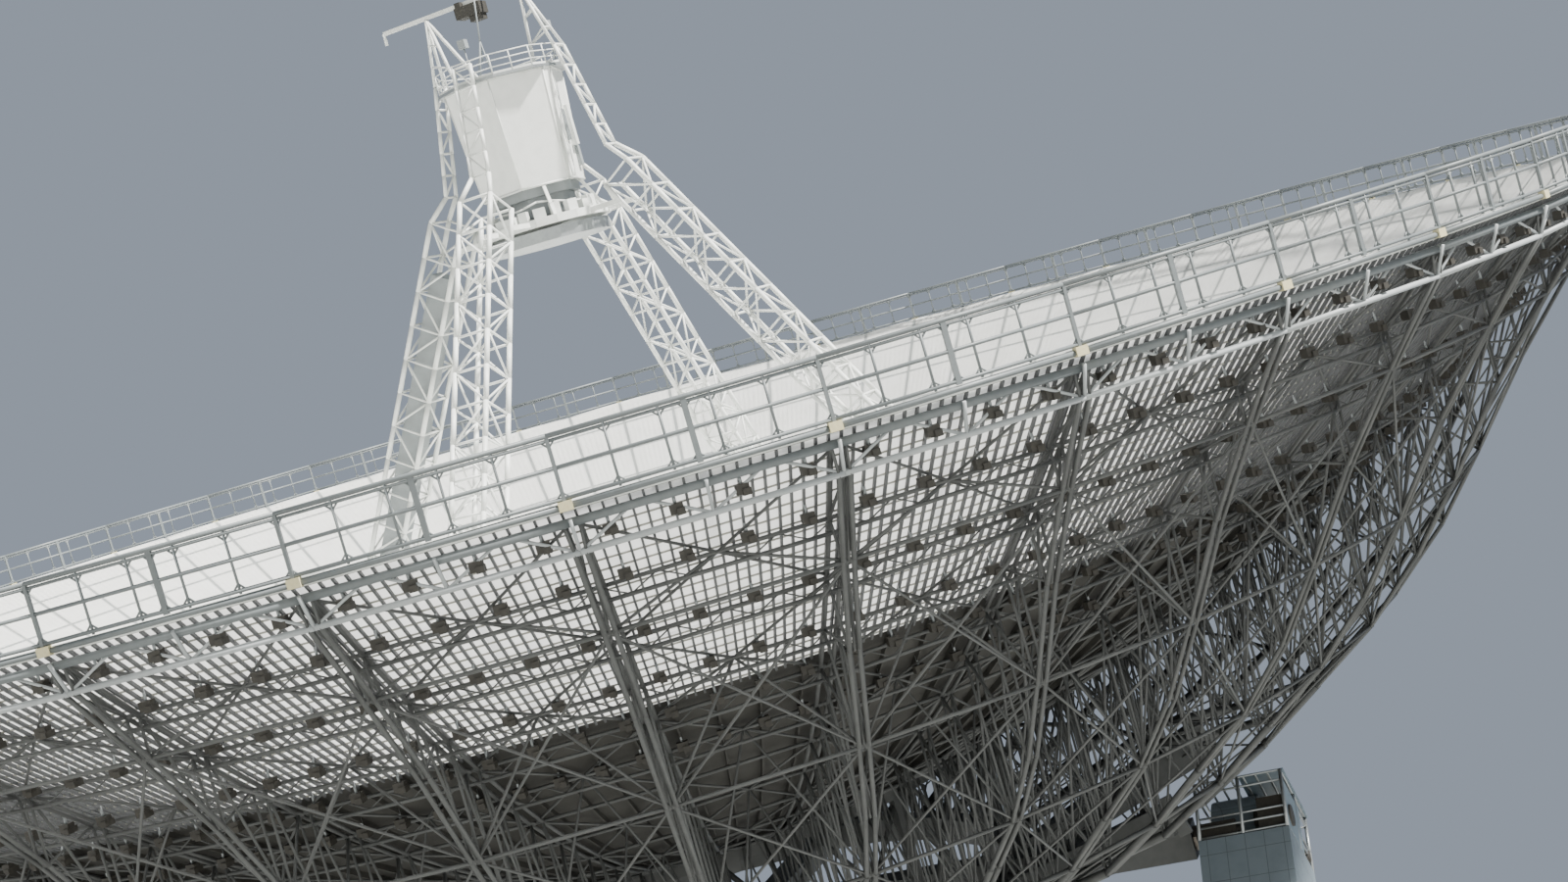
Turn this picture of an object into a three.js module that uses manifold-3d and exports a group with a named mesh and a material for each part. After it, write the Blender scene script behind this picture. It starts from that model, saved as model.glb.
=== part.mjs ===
// Fully steerable radio telescope, a scale model at one tenth of the real size.
// Millimetres, +Z up. The origin is on the ground at the azimuth axis, the elevation axis runs along X,
// and the dish looks towards -Y, raised to the angle that it has in the photograph.
import * as THREE from 'three';
import { mergeVertices } from 'three/addons/utils/BufferGeometryUtils.js';
import Module from 'manifold-3d';

const wasm = await Module();
wasm.setup();

// Clearances
const GAP = 0.3;
const RUNNING_GAP = 0.5;
const SLIVER = 0.08;

// Dish pose
const AXIS_HEIGHT = 5000;
const ELEVATION = 44.5;
const VERTEX_OFFSET = 600;

// Reflector: a paraboloid with straight edges between forty rib nodes
const FOCAL_LENGTH = 3000;
const NODE_STEP = 9;
const NODE_START = NODE_STEP / 2;
const RIM_RADIUS = 5000;
const CENTRE_RADIUS = 1500;
const PANEL_RADII = [CENTRE_RADIUS, 2400, 3300, 4200];
const PANEL_THICKNESS = 12;

// Guard fence round the rim
const FENCE_BAR = 28;
const FENCE_HEIGHT = 190;
const FENCE_RAIL = 20;
const FENCE_POST = 24;
const REFLECTOR_RADIUS = RIM_RADIUS - (FENCE_BAR / 2 + GAP) / Math.cos(rad(NODE_STEP / 2));

// Back structure: twenty flat lattice ribs and the ring beams that join them
const RIB_STEP = 18;
const RIB_PLATE = 30;
const RIB_BAR = 26;
const RIB_FOOT = [CENTRE_RADIUS, -50];
const RIB_LOWER_CHORD = [[2700, 360], [3400, 850], [4200, 1650]];
const RIB_TIP = [4940, 2440];
const CLEARED_CHORD_HEIGHT = 570;
const RING_BEAM = 22;
const RING_LIFT = 14;
const RIM_TUBE_RADIUS = 4943;
const RIM_TUBE_HEIGHT = 2525;

// Hub and cross girder
const HUB_WALL = 110;
const HUB_BASE = -110;
const HUB_BASE_TOP = 20;
const HUB_CROWN_DEPTH = 60;
const HUB_CROWN_DROP = 6;
const HUB_POST = 40;
const HUB_POST_SINK = 10;
const GIRDER_HALF = 80;
const GIRDER_REACH = 2400;

// Elevation wheel and counterweights
const WHEEL_RADIUS = 2800;
const WHEEL_RIM_DEPTH = 110;
const WHEEL_WIDTH = 120;
const WHEEL_START = 183;
const WHEEL_END = 278;
const WHEEL_STEPS = 20;
const WHEEL_SPOKES = [186.5, 210, 232, 255, 276];
const WHEEL_SPOKE_BAR = 60;
const WHEEL_BOSS = [WHEEL_WIDTH, 420, 230];
const WHEEL_SPOKE_DEPTH = 96;
const WHEEL_SEAT = [-1440, 200];
const WEIGHT_SIZE = [350, 700, 500];
const WEIGHT_HEIGHT = -2200;

// Trunnions, and the machine rooms and bearings that carry them
const TRUNNION_RADIUS = 60;
const BORE_RADIUS = 62;
const BEARING_RADIUS = 150;
const BEARING_INNER = 2520;
const BEARING_OUTER = 2740;
const TRUNNION_END = BEARING_OUTER + 20;
const ROOM_INNER = 2470;
const ROOM_OUTER = 2900;
const ROOM_HALF_DEPTH = 260;
const ROOM_BOTTOM = -600;
const ROOM_TOP = -160;
const GANTRY_BAR = 16;
const GANTRY_HEIGHT = 310;
const GANTRY_LEVELS = [0, 62, 246, GANTRY_HEIGHT - GANTRY_BAR];

// Cabin legs: square lattice masts up to the cabin frame, then ladders beside the cabin
const LEG_START = -4.5;
const LEG_FOOT = [2250, 1022];
const LEG_HEAD = [520, 3900];
const LEG_SIDE = 200;
const LEG_CHORD = 20;
const LEG_BRACE = 14;
const LEG_BAYS = 3;
const LEG_SINK = 0.035;
const LADDER_FOOT = [489, 4050];
const LADDER_HEAD = [365, 4600];
const LADDER_HALF = 50;
const LADDER_RUNGS = 3;
const LIFT_LEG = 2;
const LIFT_SIDE = 110;
const LIFT_TOP = 0.92;

// Cabin
const CABIN_SIDES = 10;
const CABIN_BOTTOM = 3945;
const CABIN_HEIGHT = 564;
const CABIN_BOTTOM_RADIUS = 275;
const CABIN_TOP_RADIUS = 318;
const DECK_RADIUS = 345;
const DECK_THICKNESS = 14;
const RAILING_HEIGHT = 100;
const RAILING_BAR = 8;
const RAILING_INSET = 10;
const DECK_TOP = CABIN_BOTTOM + CABIN_HEIGHT + GAP + DECK_THICKNESS;
const SECONDARY_RADIUS = 325;
const SECONDARY_DEPTH = 60;
const CABIN_RING_RADIUS = 350;
const CABIN_RING_HEIGHT = 3760;
const CABIN_RING_BEAM = 40;
const CABIN_RING_ARM = 24;
const CABIN_RING_REACH = 500;
const CABIN_POST = 16;
const CABIN_POST_START = 18;
const CABIN_POST_STEP = 72;
const MIRROR_BEAM = 24;
const SECONDARY_TOP = CABIN_RING_HEIGHT - MIRROR_BEAM / 2 - GAP;

// Crane over the cabin: a beam on two frames that stand on the ladders and the deck
const CRANE_HEIGHT = 4950;
const CRANE_BEAM = 20;
const CRANE_BAR = 12;
const CRANE_ENDS = [-600, 300];
const CRANE_HOOK = 45;
const CRANE_FRAMES = [
  { turn: 180, apex: 334, deckFeet: [[243.5, 287], [267.2, 229]] },
  { turn: 0, apex: 236, deckFeet: [[6.3, 185]] },
];
const HOIST_BOX = [160, 90, 70];
const HOIST_REACH = -63;

// Azimuth track
const TRACK_RADIUS = 3202;
const TRACK_SEGMENTS = 40;
const FOUNDATION_WIDTH = 300;
const FOUNDATION_HEIGHT = 100;
const RAIL_WIDTH = 60;
const RAIL_HEIGHT = 25;
const PIER_RADIUS = 400;
const PIER_HEIGHT = 300;
const PIN_RADIUS = 80;
const PIN_TOP = 540;

// Alidade
const CORNER = [2500, 2000];
const FRAME_BOTTOM = 400;
const FRAME_TOP = 560;
const FRAME_BEAM = FRAME_TOP - FRAME_BOTTOM;
const FRAME_HUB_RADIUS = 300;
const FRAME_BORE_RADIUS = 81.9;
const BOGIE_SIZE = [520, 180, 150];
const WHEEL_PAIRS = [-170, 170];
const TRACK_WHEEL_RADIUS = 90;
const TRACK_WHEEL_WIDTH = 60;
const TOWER_LEG = 150;
const TOWER_TOP = AXIS_HEIGHT + ROOM_BOTTOM;
const TOWER_HEAD = [(ROOM_INNER + ROOM_OUTER) / 2, 190];
const TOWER_SINK = 100;
const TOWER_LEVELS = [1750, 3050];
const TOWER_LEVEL_INSET = 60;
const TOWER_CAP = 80;
const TOWER_TIE = 90;
const TOWER_BRACE = 60;
const STRUT_FOOT = 1500;
const STRUT_SINK = 40;
const DRIVE_FEET = [1000, 800];
const DRIVE_HEAD = 200;
const DRIVE_TOP = 1950;
const DRIVE_FLOOR = [520, 520, 60];
const DRIVE_HOUSE = [420, 420, 190];
const DRIVE_SINK = 20;
const DRIVE_LEG = 80;

// Finishes
const FINISHES = {
  white_paint: { color: 0xe9ebea, roughness: 0.5, metalness: 0.1 },
  panel_paint: { color: 0xf1f2f0, roughness: 0.6, metalness: 0.05 },
  grey_paint: { color: 0x9fa5a8, roughness: 0.55, metalness: 0.15 },
  rail_steel: { color: 0x6f6a65, roughness: 0.4, metalness: 0.8 },
  concrete: { color: 0xb3b0a8, roughness: 0.95, metalness: 0 },
};

// Small helpers
function rad(degrees) {
  return (degrees * Math.PI) / 180;
}

function polar(angle, radius, height) {
  return new THREE.Vector3(radius * Math.cos(rad(angle)), radius * Math.sin(rad(angle)), height);
}

function reflectorHeight(radius) {
  return VERTEX_OFFSET + (radius * radius) / (4 * FOCAL_LENGTH);
}

// Share of a node's radius at which a straight edge between nodes lies in this direction
function chordReach(angle, step) {
  const fromNode = (((angle - NODE_START) % step) + step) % step;
  return Math.cos(rad(step / 2)) / Math.cos(rad(fromNode - step / 2));
}

function anglesBetween(first, last, step) {
  const angles = [first];
  const start = NODE_START + step * (Math.floor((first - NODE_START) / step) + 1);
  for (let angle = start; angle < last; angle += step) angles.push(angle);
  angles.push(last);
  return angles;
}

// Solids: joining and cutting
function solidOf(geometry) {
  const plain = geometry.clone();
  plain.deleteAttribute('normal');
  plain.deleteAttribute('uv');
  const merged = mergeVertices(plain, 1e-3);
  return new wasm.Manifold(new wasm.Mesh({
    numProp: 3,
    vertProperties: Float32Array.from(merged.attributes.position.array),
    triVerts: Uint32Array.from(merged.index.array),
  }));
}

function geometryOf(solid) {
  const mesh = solid.asOriginal().simplify(SLIVER).getMesh();
  const geometry = new THREE.BufferGeometry();
  geometry.setAttribute('position', new THREE.BufferAttribute(Float32Array.from(mesh.vertProperties), 3));
  geometry.setIndex(Array.from(mesh.triVerts));
  geometry.computeVertexNormals();
  return geometry;
}

function fuse(solids) {
  let row = solids;
  while (row.length > 1) {
    const next = [];
    for (let i = 0; i < row.length; i += 2) next.push(i + 1 < row.length ? row[i].add(row[i + 1]) : row[i]);
    row = next;
  }
  return row[0];
}

function keepAbove(solid, height) {
  return solid.trimByPlane([0, 0, 1], height);
}

function keepBelow(solid, height) {
  return solid.trimByPlane([0, 0, -1], -height);
}

function block(size, centre) {
  return solidOf(new THREE.BoxGeometry(...size).translate(...centre));
}

// A square bar between two points, turned so that its first side is square to the guide direction
function bar(from, to, width, depth = width, guide = new THREE.Vector3(0, 0, 1)) {
  const along = to.clone().sub(from);
  const length = along.length();
  along.normalize();
  const steady = Math.abs(along.dot(guide)) > 0.98 ? new THREE.Vector3(1, 0, 0) : guide;
  const across = new THREE.Vector3().crossVectors(steady, along).normalize();
  const up = new THREE.Vector3().crossVectors(along, across);
  const place = new THREE.Matrix4().makeBasis(across, up, along);
  place.setPosition(from.clone().add(to).multiplyScalar(0.5));
  return solidOf(new THREE.BoxGeometry(width, depth, length).applyMatrix4(place));
}

// A closed surface from its points and triangles, turned to face outwards
function shell(positions, index) {
  const corner = (i) => new THREE.Vector3().fromArray(positions, 3 * index[i]);
  let volume = 0;
  for (let i = 0; i < index.length; i += 3) volume += corner(i).dot(corner(i + 1).cross(corner(i + 2)));
  const geometry = new THREE.BufferGeometry();
  geometry.setAttribute('position', new THREE.Float32BufferAttribute(positions, 3));
  geometry.setIndex(volume > 0 ? index : index.slice().reverse());
  geometry.computeVertexNormals();
  return geometry;
}

// A closed shell whose rows of points are the corners of one section after another
function loft(sections) {
  const count = sections[0].length;
  const positions = sections.flat().flatMap((point) => [point.x, point.y, point.z]);
  const index = [];
  for (let i = 0; i < sections.length - 1; i += 1) {
    for (let j = 0; j < count; j += 1) {
      const k = (j + 1) % count;
      const [a, b, c, d] = [i * count + j, i * count + k, (i + 1) * count + k, (i + 1) * count + j];
      index.push(a, b, c, a, c, d);
    }
  }
  const last = (sections.length - 1) * count;
  for (let j = 1; j < count - 1; j += 1) {
    index.push(0, j + 1, j);
    index.push(last, last + j, last + j + 1);
  }
  return shell(positions, index);
}

// A beam that runs round the dish axis with a straight stretch between nodes
function arcBeam(first, last, step, radius, height, width, depth) {
  const angles = anglesBetween(first, last, step);
  const sections = angles.map((angle, i) => {
    const reach = chordReach(angle, step);
    const inset = i === 0 ? GAP / 2 : i === angles.length - 1 ? -GAP / 2 : 0;
    const corner = (dr, dz) => {
      const point = polar(angle, (radius + dr / Math.cos(rad(step / 2))) * reach, height + dz);
      return point.add(polar(angle + 90, inset, 0));
    };
    const [w, d] = [width / 2, depth / 2];
    return [corner(-w, -d), corner(w, -d), corner(w, d), corner(-w, d)];
  });
  return solidOf(loft(sections));
}

// Reflector surface
function bowlSection(angle, radii, shift) {
  const reach = chordReach(angle, NODE_STEP);
  const point = (radius, drop) => polar(angle, radius * reach, reflectorHeight(radius) - drop)
    .add(polar(angle + 90, shift, 0));
  const under = radii.map((radius) => point(radius, PANEL_THICKNESS));
  const top = radii.map((radius) => point(radius, 0)).reverse();
  return [...under, ...top];
}

function bowlQuarter(quarter) {
  const radii = [...PANEL_RADII, REFLECTOR_RADIUS];
  const angles = anglesBetween(90 * quarter, 90 * quarter + 90, NODE_STEP);
  const last = angles.length - 1;
  const sections = angles.map((angle, i) => {
    const shift = i === 0 ? GAP / 2 : i === last ? -GAP / 2 : 0;
    return bowlSection(angle, radii, shift);
  });
  const columns = radii.length;
  const count = 2 * columns;
  const positions = sections.flat().flatMap((point) => [point.x, point.y, point.z]);
  const index = [];
  for (let i = 0; i < last; i += 1) {
    for (let j = 0; j < count; j += 1) {
      const k = (j + 1) % count;
      const [a, b, c, d] = [i * count + j, i * count + k, (i + 1) * count + k, (i + 1) * count + j];
      index.push(a, b, c, a, c, d);
    }
  }
  for (const [row, turned] of [[0, true], [last, false]]) {
    for (let j = 0; j < columns - 1; j += 1) {
      const [a, b] = [row * count + j, row * count + j + 1];
      const [c, d] = [row * count + count - 2 - j, row * count + count - 1 - j];
      if (turned) index.push(a, c, b, a, d, c);
      else index.push(a, b, c, a, c, d);
    }
  }
  return shell(positions, index);
}

function bowlCentre() {
  const edge = CENTRE_RADIUS - GAP / Math.cos(rad(NODE_STEP / 2));
  const profile = [
    new THREE.Vector2(0, reflectorHeight(0) - PANEL_THICKNESS),
    new THREE.Vector2(edge / 2, reflectorHeight(edge / 2) - PANEL_THICKNESS),
    new THREE.Vector2(edge, reflectorHeight(edge) - PANEL_THICKNESS),
    new THREE.Vector2(edge, reflectorHeight(edge)),
    new THREE.Vector2(edge / 2, reflectorHeight(edge / 2)),
    new THREE.Vector2(0, reflectorHeight(0)),
  ];
  return turned(profile, 360 / NODE_STEP, NODE_START);
}

// A profile of radius and height turned about +Z, with its first corner at the given angle
function turned(profile, segments, startAngle = 0) {
  const geometry = new THREE.LatheGeometry(profile, segments);
  geometry.rotateX(Math.PI / 2);
  geometry.rotateZ(rad(startAngle - 90));
  return geometryOf(solidOf(geometry));
}

function ringProfile(inner, outer, bottom, top) {
  const corners = [[inner, bottom], [outer, bottom], [outer, top], [inner, top], [inner, bottom]];
  return corners.map(([radius, height]) => new THREE.Vector2(radius, height));
}

// Guard fence
function fenceQuarter(quarter) {
  const [first, last] = [90 * quarter, 90 * quarter + 90];
  const base = reflectorHeight(REFLECTOR_RADIUS) - PANEL_THICKNESS;
  const rail = (height) => arcBeam(first, last, NODE_STEP, RIM_RADIUS, height, FENCE_BAR, FENCE_RAIL);
  const parts = [rail(base + FENCE_RAIL / 2), rail(base + FENCE_HEIGHT - FENCE_RAIL / 2)];
  for (const angle of anglesBetween(first, last, NODE_STEP).slice(1, -1)) {
    const foot = polar(angle, RIM_RADIUS, base + 2);
    const head = polar(angle, RIM_RADIUS, base + FENCE_HEIGHT - 2);
    parts.push(bar(foot, head, FENCE_POST, FENCE_POST, polar(angle, 1, 0)));
  }
  return geometryOf(fuse(parts));
}

// Back structure
function insetTriangle(points, distances) {
  const area = (points[1][0] - points[0][0]) * (points[2][1] - points[0][1])
    - (points[2][0] - points[0][0]) * (points[1][1] - points[0][1]);
  const turn = Math.sign(area);
  const lines = points.map((from, i) => {
    const to = points[(i + 1) % 3];
    const length = Math.hypot(to[0] - from[0], to[1] - from[1]);
    const normal = [(-turn * (to[1] - from[1])) / length, (turn * (to[0] - from[0])) / length];
    return [...normal, normal[0] * from[0] + normal[1] * from[1] + distances[i]];
  });
  return lines.map((line, i) => {
    const before = lines[(i + 2) % 3];
    const det = before[0] * line[1] - before[1] * line[0];
    const x = (before[2] * line[1] - before[1] * line[2]) / det;
    return [x, (before[0] * line[2] - before[2] * line[0]) / det];
  });
}

function ribLowerChord(angle) {
  const overHouse = Math.abs(Math.sin(rad(angle))) < Math.sin(rad(NODE_STEP));
  return RIB_LOWER_CHORD.map(([radius, height], i) => (
    i === 0 && overHouse ? [radius, CLEARED_CHORD_HEIGHT] : [radius, height]));
}

function rib(angle) {
  const seat = PANEL_THICKNESS + GAP;
  const top = [...PANEL_RADII, REFLECTOR_RADIUS].map((radius) => [radius, reflectorHeight(radius) - seat]);
  const low = [RIB_FOOT, ...ribLowerChord(angle)];
  const outline = new THREE.Shape([...top, RIB_TIP, ...low.slice().reverse()]
    .map(([radius, height]) => new THREE.Vector2(radius, height)));
  const full = RIB_BAR;
  const half = RIB_BAR / 2;
  for (let i = 0; i < top.length - 1; i += 1) {
    const upper = insetTriangle([top[i], low[i], top[i + 1]], [i === 0 ? full : half, half, full]);
    outline.holes.push(new THREE.Path(upper.map(([x, y]) => new THREE.Vector2(x, y))));
    if (i + 1 === low.length) continue;
    const lower = insetTriangle([low[i], low[i + 1], top[i + 1]], [full, half, half]);
    outline.holes.push(new THREE.Path(lower.map(([x, y]) => new THREE.Vector2(x, y))));
  }
  const plate = new THREE.ExtrudeGeometry(outline, { depth: RIB_PLATE, bevelEnabled: false });
  plate.translate(0, 0, -RIB_PLATE / 2);
  const radial = polar(angle, 1, 0);
  plate.applyMatrix4(new THREE.Matrix4().makeBasis(
    radial,
    new THREE.Vector3(0, 0, 1),
    radial.clone().cross(new THREE.Vector3(0, 0, 1)),
  ));
  return solidOf(plate);
}

function backQuarter(quarter) {
  const [first, last] = [90 * quarter, 90 * quarter + 90];
  const parts = anglesBetween(first, last, RIB_STEP).slice(1, -1).map(rib);
  for (const [radius, height] of RIB_LOWER_CHORD.slice(1)) {
    parts.push(arcBeam(first, last, RIB_STEP, radius, height + RING_LIFT, RING_BEAM, RING_BEAM));
  }
  parts.push(arcBeam(first, last, RIB_STEP, RIM_TUBE_RADIUS, RIM_TUBE_HEIGHT, RING_BEAM, RING_BEAM));
  return geometryOf(fuse(parts));
}

// Hub with the cross girder that carries the dish on its trunnions
function hubFrame() {
  const outer = CENTRE_RADIUS - GAP;
  const crownTop = reflectorHeight(outer - HUB_WALL) - PANEL_THICKNESS - GAP - HUB_CROWN_DROP;
  const ring = (bottom, top) => solidOf(turned(
    ringProfile(outer - HUB_WALL, outer, bottom, top),
    360 / RIB_STEP,
    NODE_START,
  ));
  const parts = [ring(HUB_BASE, HUB_BASE_TOP), ring(crownTop - HUB_CROWN_DEPTH, crownTop)];
  for (let angle = NODE_START; angle < 360; angle += 2 * RIB_STEP) {
    const middle = outer - HUB_WALL / 2;
    const foot = polar(angle, middle, HUB_BASE_TOP - HUB_POST_SINK);
    const head = polar(angle, middle, crownTop - HUB_POST_SINK);
    parts.push(bar(foot, head, HUB_POST, HUB_POST, polar(angle, 1, 0)));
  }
  const side = 2 * GIRDER_HALF;
  parts.push(block([2 * GIRDER_REACH, side, side], [0, 0, 0]));
  const crossDepth = GIRDER_HALF + HUB_BASE_TOP;
  parts.push(block([side, 2 * (outer - HUB_WALL / 2), crossDepth], [0, 0, HUB_BASE_TOP - crossDepth / 2]));
  return geometryOf(fuse(parts));
}

// Elevation wheel: a toothless rim arc on spokes under the girder
function elevationWheel() {
  const point = (angle, radius) => (
    new THREE.Vector3(0, radius * Math.cos(rad(angle)), radius * Math.sin(rad(angle))));
  const half = WHEEL_WIDTH / 2;
  const sections = [];
  for (let i = 0; i <= WHEEL_STEPS; i += 1) {
    const angle = WHEEL_START + ((WHEEL_END - WHEEL_START) * i) / WHEEL_STEPS;
    const inner = point(angle, WHEEL_RADIUS - WHEEL_RIM_DEPTH);
    const outer = point(angle, WHEEL_RADIUS);
    sections.push([[inner, half], [inner, -half], [outer, -half], [outer, half]]
      .map(([base, x]) => base.clone().setX(x)));
  }
  const bossTop = -GIRDER_HALF - GAP;
  const parts = [solidOf(loft(sections))];
  parts.push(block(WHEEL_BOSS, [0, 0, bossTop - WHEEL_BOSS[2] / 2]));
  const centre = new THREE.Vector3(0, 0, bossTop - WHEEL_BOSS[2] / 2);
  for (const angle of WHEEL_SPOKES) {
    const end = point(angle, WHEEL_RADIUS - WHEEL_RIM_DEPTH / 2);
    parts.push(bar(centre, end, WHEEL_SPOKE_BAR, WHEEL_SPOKE_DEPTH, new THREE.Vector3(1, 0, 0)));
  }
  const seatTop = HUB_BASE - GAP;
  const [seatY, seatDepth] = WHEEL_SEAT;
  const seatSize = [WHEEL_SPOKE_BAR, WHEEL_SPOKE_BAR, seatDepth];
  parts.push(block(seatSize, [0, seatY, seatTop - seatDepth / 2]));
  return geometryOf(fuse(parts));
}

function counterweight(side) {
  const [x, y, z] = WEIGHT_SIZE;
  const middle = WHEEL_SPOKE_DEPTH / 2 + GAP + x / 2;
  return new THREE.BoxGeometry(x, y, z).translate(side * middle, 0, WEIGHT_HEIGHT);
}

function trunnion(side) {
  const length = TRUNNION_END - GIRDER_REACH - GAP;
  const shaft = new THREE.CylinderGeometry(TRUNNION_RADIUS, TRUNNION_RADIUS, length, 16);
  return shaft.rotateZ(Math.PI / 2).translate(side * (GIRDER_REACH + GAP + length / 2), 0, 0);
}

// Cabin legs
function legPoint(share) {
  return [0, 1].map((i) => LEG_FOOT[i] + (LEG_HEAD[i] - LEG_FOOT[i]) * share);
}

function cabinLeg(angle) {
  const run = new THREE.Vector2(...LEG_HEAD).sub(new THREE.Vector2(...LEG_FOOT)).normalize();
  const tangent = polar(angle + 90, 1, 0);
  const half = (LEG_SIDE - LEG_CHORD) / 2;
  const corner = (c, level) => {
    const [out, along] = [[1, 1], [1, -1], [-1, -1], [-1, 1]][c % 4];
    const [radius, height] = legPoint(-LEG_SINK + ((1 + LEG_SINK) * level) / LEG_BAYS);
    return polar(angle, radius + out * half * run.y, height - out * half * run.x)
      .addScaledVector(tangent, along * half);
  };
  const guide = polar(angle, 1, 0);
  const parts = [];
  for (let c = 0; c < 4; c += 1) {
    parts.push(bar(corner(c, 0), corner(c, LEG_BAYS), LEG_CHORD, LEG_CHORD, guide));
    parts.push(bar(corner(c, LEG_BAYS), corner(c + 1, LEG_BAYS), LEG_CHORD));
    for (let i = 0; i < LEG_BAYS; i += 1) {
      const [a, b] = (i + c) % 2 ? [c, c + 1] : [c + 1, c];
      parts.push(bar(corner(a, i), corner(b, i + 1), LEG_BRACE));
    }
  }
  for (const c of [0, 1]) parts.push(bar(corner(c, LEG_BAYS), ladderPoint(angle, 0, 1 - 2 * c), LEG_CHORD));
  return fuse([...parts, cabinLadder(angle)]);
}

// Ladder from the leg's head to the crane's frame: two rails and their rungs, with a flat top
function ladderPoint(angle, share, side) {
  const [radius, height] = [0, 1].map((i) => LADDER_FOOT[i] + (LADDER_HEAD[i] - LADDER_FOOT[i]) * share);
  return polar(angle, radius, height).add(polar(angle + 90, side * LADDER_HALF, 0));
}

function cabinLadder(angle) {
  const over = 1 + LEG_CHORD / (LADDER_HEAD[1] - LADDER_FOOT[1]);
  const guide = polar(angle, 1, 0);
  const parts = [-1, 1].map((side) => (
    bar(ladderPoint(angle, 0, side), ladderPoint(angle, over, side), LEG_CHORD, LEG_CHORD, guide)));
  for (let i = 0; i < LADDER_RUNGS; i += 1) {
    const share = i / (LADDER_RUNGS - 1 + LEG_CHORD / LADDER_HALF);
    parts.push(bar(ladderPoint(angle, share, -1), ladderPoint(angle, share, 1), LEG_BRACE));
  }
  return keepBelow(fuse(parts), LADDER_HEAD[1]);
}

// What stands on the reflector is cut off along the panels' slope, just above their surface
function seatedOnReflector(solid, angle, width) {
  const [inner, outer] = PANEL_RADII;
  const slope = (reflectorHeight(outer) - reflectorHeight(inner)) / (outer - inner);
  const rise = slope * (width / 2) * Math.tan(rad(NODE_STEP / 2));
  const normal = polar(angle, -slope, 1).normalize();
  const origin = polar(angle, inner, reflectorHeight(inner) + rise + GAP);
  return solid.trimByPlane(normal.toArray(), normal.dot(origin));
}

function liftShaft(angle) {
  const [foot, head] = [-LEG_SINK, LIFT_TOP].map((share) => polar(angle, ...legPoint(share)));
  return bar(foot, head, LIFT_SIDE, LIFT_SIDE, polar(angle + 90, 1, 0));
}

// Cabin and what is on it
function drum(topRadius, bottomRadius, bottom, height) {
  const geometry = new THREE.CylinderGeometry(topRadius, bottomRadius, height, CABIN_SIDES);
  return geometry.rotateX(Math.PI / 2).rotateZ(Math.PI / 2).translate(0, 0, bottom + height / 2);
}

function cabin() {
  return drum(CABIN_TOP_RADIUS, CABIN_BOTTOM_RADIUS, CABIN_BOTTOM, CABIN_HEIGHT);
}

function cabinDeck() {
  return drum(DECK_RADIUS, DECK_RADIUS, CABIN_BOTTOM + CABIN_HEIGHT + GAP, DECK_THICKNESS);
}

function polygonRail(radius, height, width) {
  const apothem = Math.cos(rad(180 / CABIN_SIDES));
  const profile = ringProfile(radius - width / apothem, radius, height - width / 2, height + width / 2);
  return solidOf(turned(profile, CABIN_SIDES));
}

function cabinRailing() {
  const floor = DECK_TOP + GAP;
  const radius = DECK_RADIUS - RAILING_INSET;
  const parts = [polygonRail(radius + RAILING_BAR / 2, floor + RAILING_HEIGHT, RAILING_BAR)];
  for (let angle = 0; angle < 360; angle += 360 / CABIN_SIDES) {
    parts.push(bar(polar(angle, radius, floor), polar(angle, radius, floor + RAILING_HEIGHT), RAILING_BAR));
  }
  return geometryOf(fuse(parts));
}

function secondaryMirror() {
  const profile = [
    new THREE.Vector2(0, SECONDARY_TOP - SECONDARY_DEPTH * 0.8),
    new THREE.Vector2(SECONDARY_RADIUS * 0.6, SECONDARY_TOP - SECONDARY_DEPTH),
    new THREE.Vector2(SECONDARY_RADIUS, SECONDARY_TOP - SECONDARY_DEPTH * 1.4),
    new THREE.Vector2(SECONDARY_RADIUS, SECONDARY_TOP - SECONDARY_DEPTH * 0.4),
    new THREE.Vector2(0, SECONDARY_TOP),
  ];
  return turned(profile, 20);
}

function cabinFrame(legs) {
  const inner = CABIN_RING_RADIUS - CABIN_RING_BEAM;
  const top = CABIN_RING_HEIGHT + CABIN_RING_BEAM / 2;
  const ring = ringProfile(inner, CABIN_RING_RADIUS, top - CABIN_RING_BEAM, top);
  const parts = [solidOf(turned(ring, 20))];
  for (let i = 0; i < 4; i += 1) {
    const angle = LEG_START + 90 * i;
    for (const side of [-1, 1]) {
      const offset = polar(angle + 90, side * (LEG_SIDE - LEG_CHORD) / 2, 0);
      const from = polar(angle, inner, CABIN_RING_HEIGHT).add(offset);
      parts.push(bar(from, polar(angle, CABIN_RING_REACH, CABIN_RING_HEIGHT).add(offset), CABIN_RING_ARM));
    }
  }
  for (let angle = CABIN_POST_START; angle < 360; angle += CABIN_POST_STEP) {
    const foot = polar(angle, inner + CABIN_RING_BEAM / 2, CABIN_RING_HEIGHT);
    parts.push(bar(foot, polar(angle, CABIN_BOTTOM_RADIUS - CABIN_RING_BEAM, CABIN_BOTTOM), CABIN_POST));
  }
  const across = 2 * inner + CABIN_RING_BEAM / 2;
  parts.push(block([across, MIRROR_BEAM, MIRROR_BEAM], [0, 0, CABIN_RING_HEIGHT]));
  let frame = keepBelow(fuse(parts), CABIN_BOTTOM - GAP);
  for (const leg of legs) {
    for (const side of [-GAP, GAP]) {
      for (const shift of [[side, 0, 0], [0, side, 0], [0, 0, side]]) {
        frame = frame.subtract(leg.translate(shift));
      }
    }
  }
  const pieces = frame.decompose().sort((a, b) => b.volume() - a.volume());
  return geometryOf(pieces[0]);
}

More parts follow.
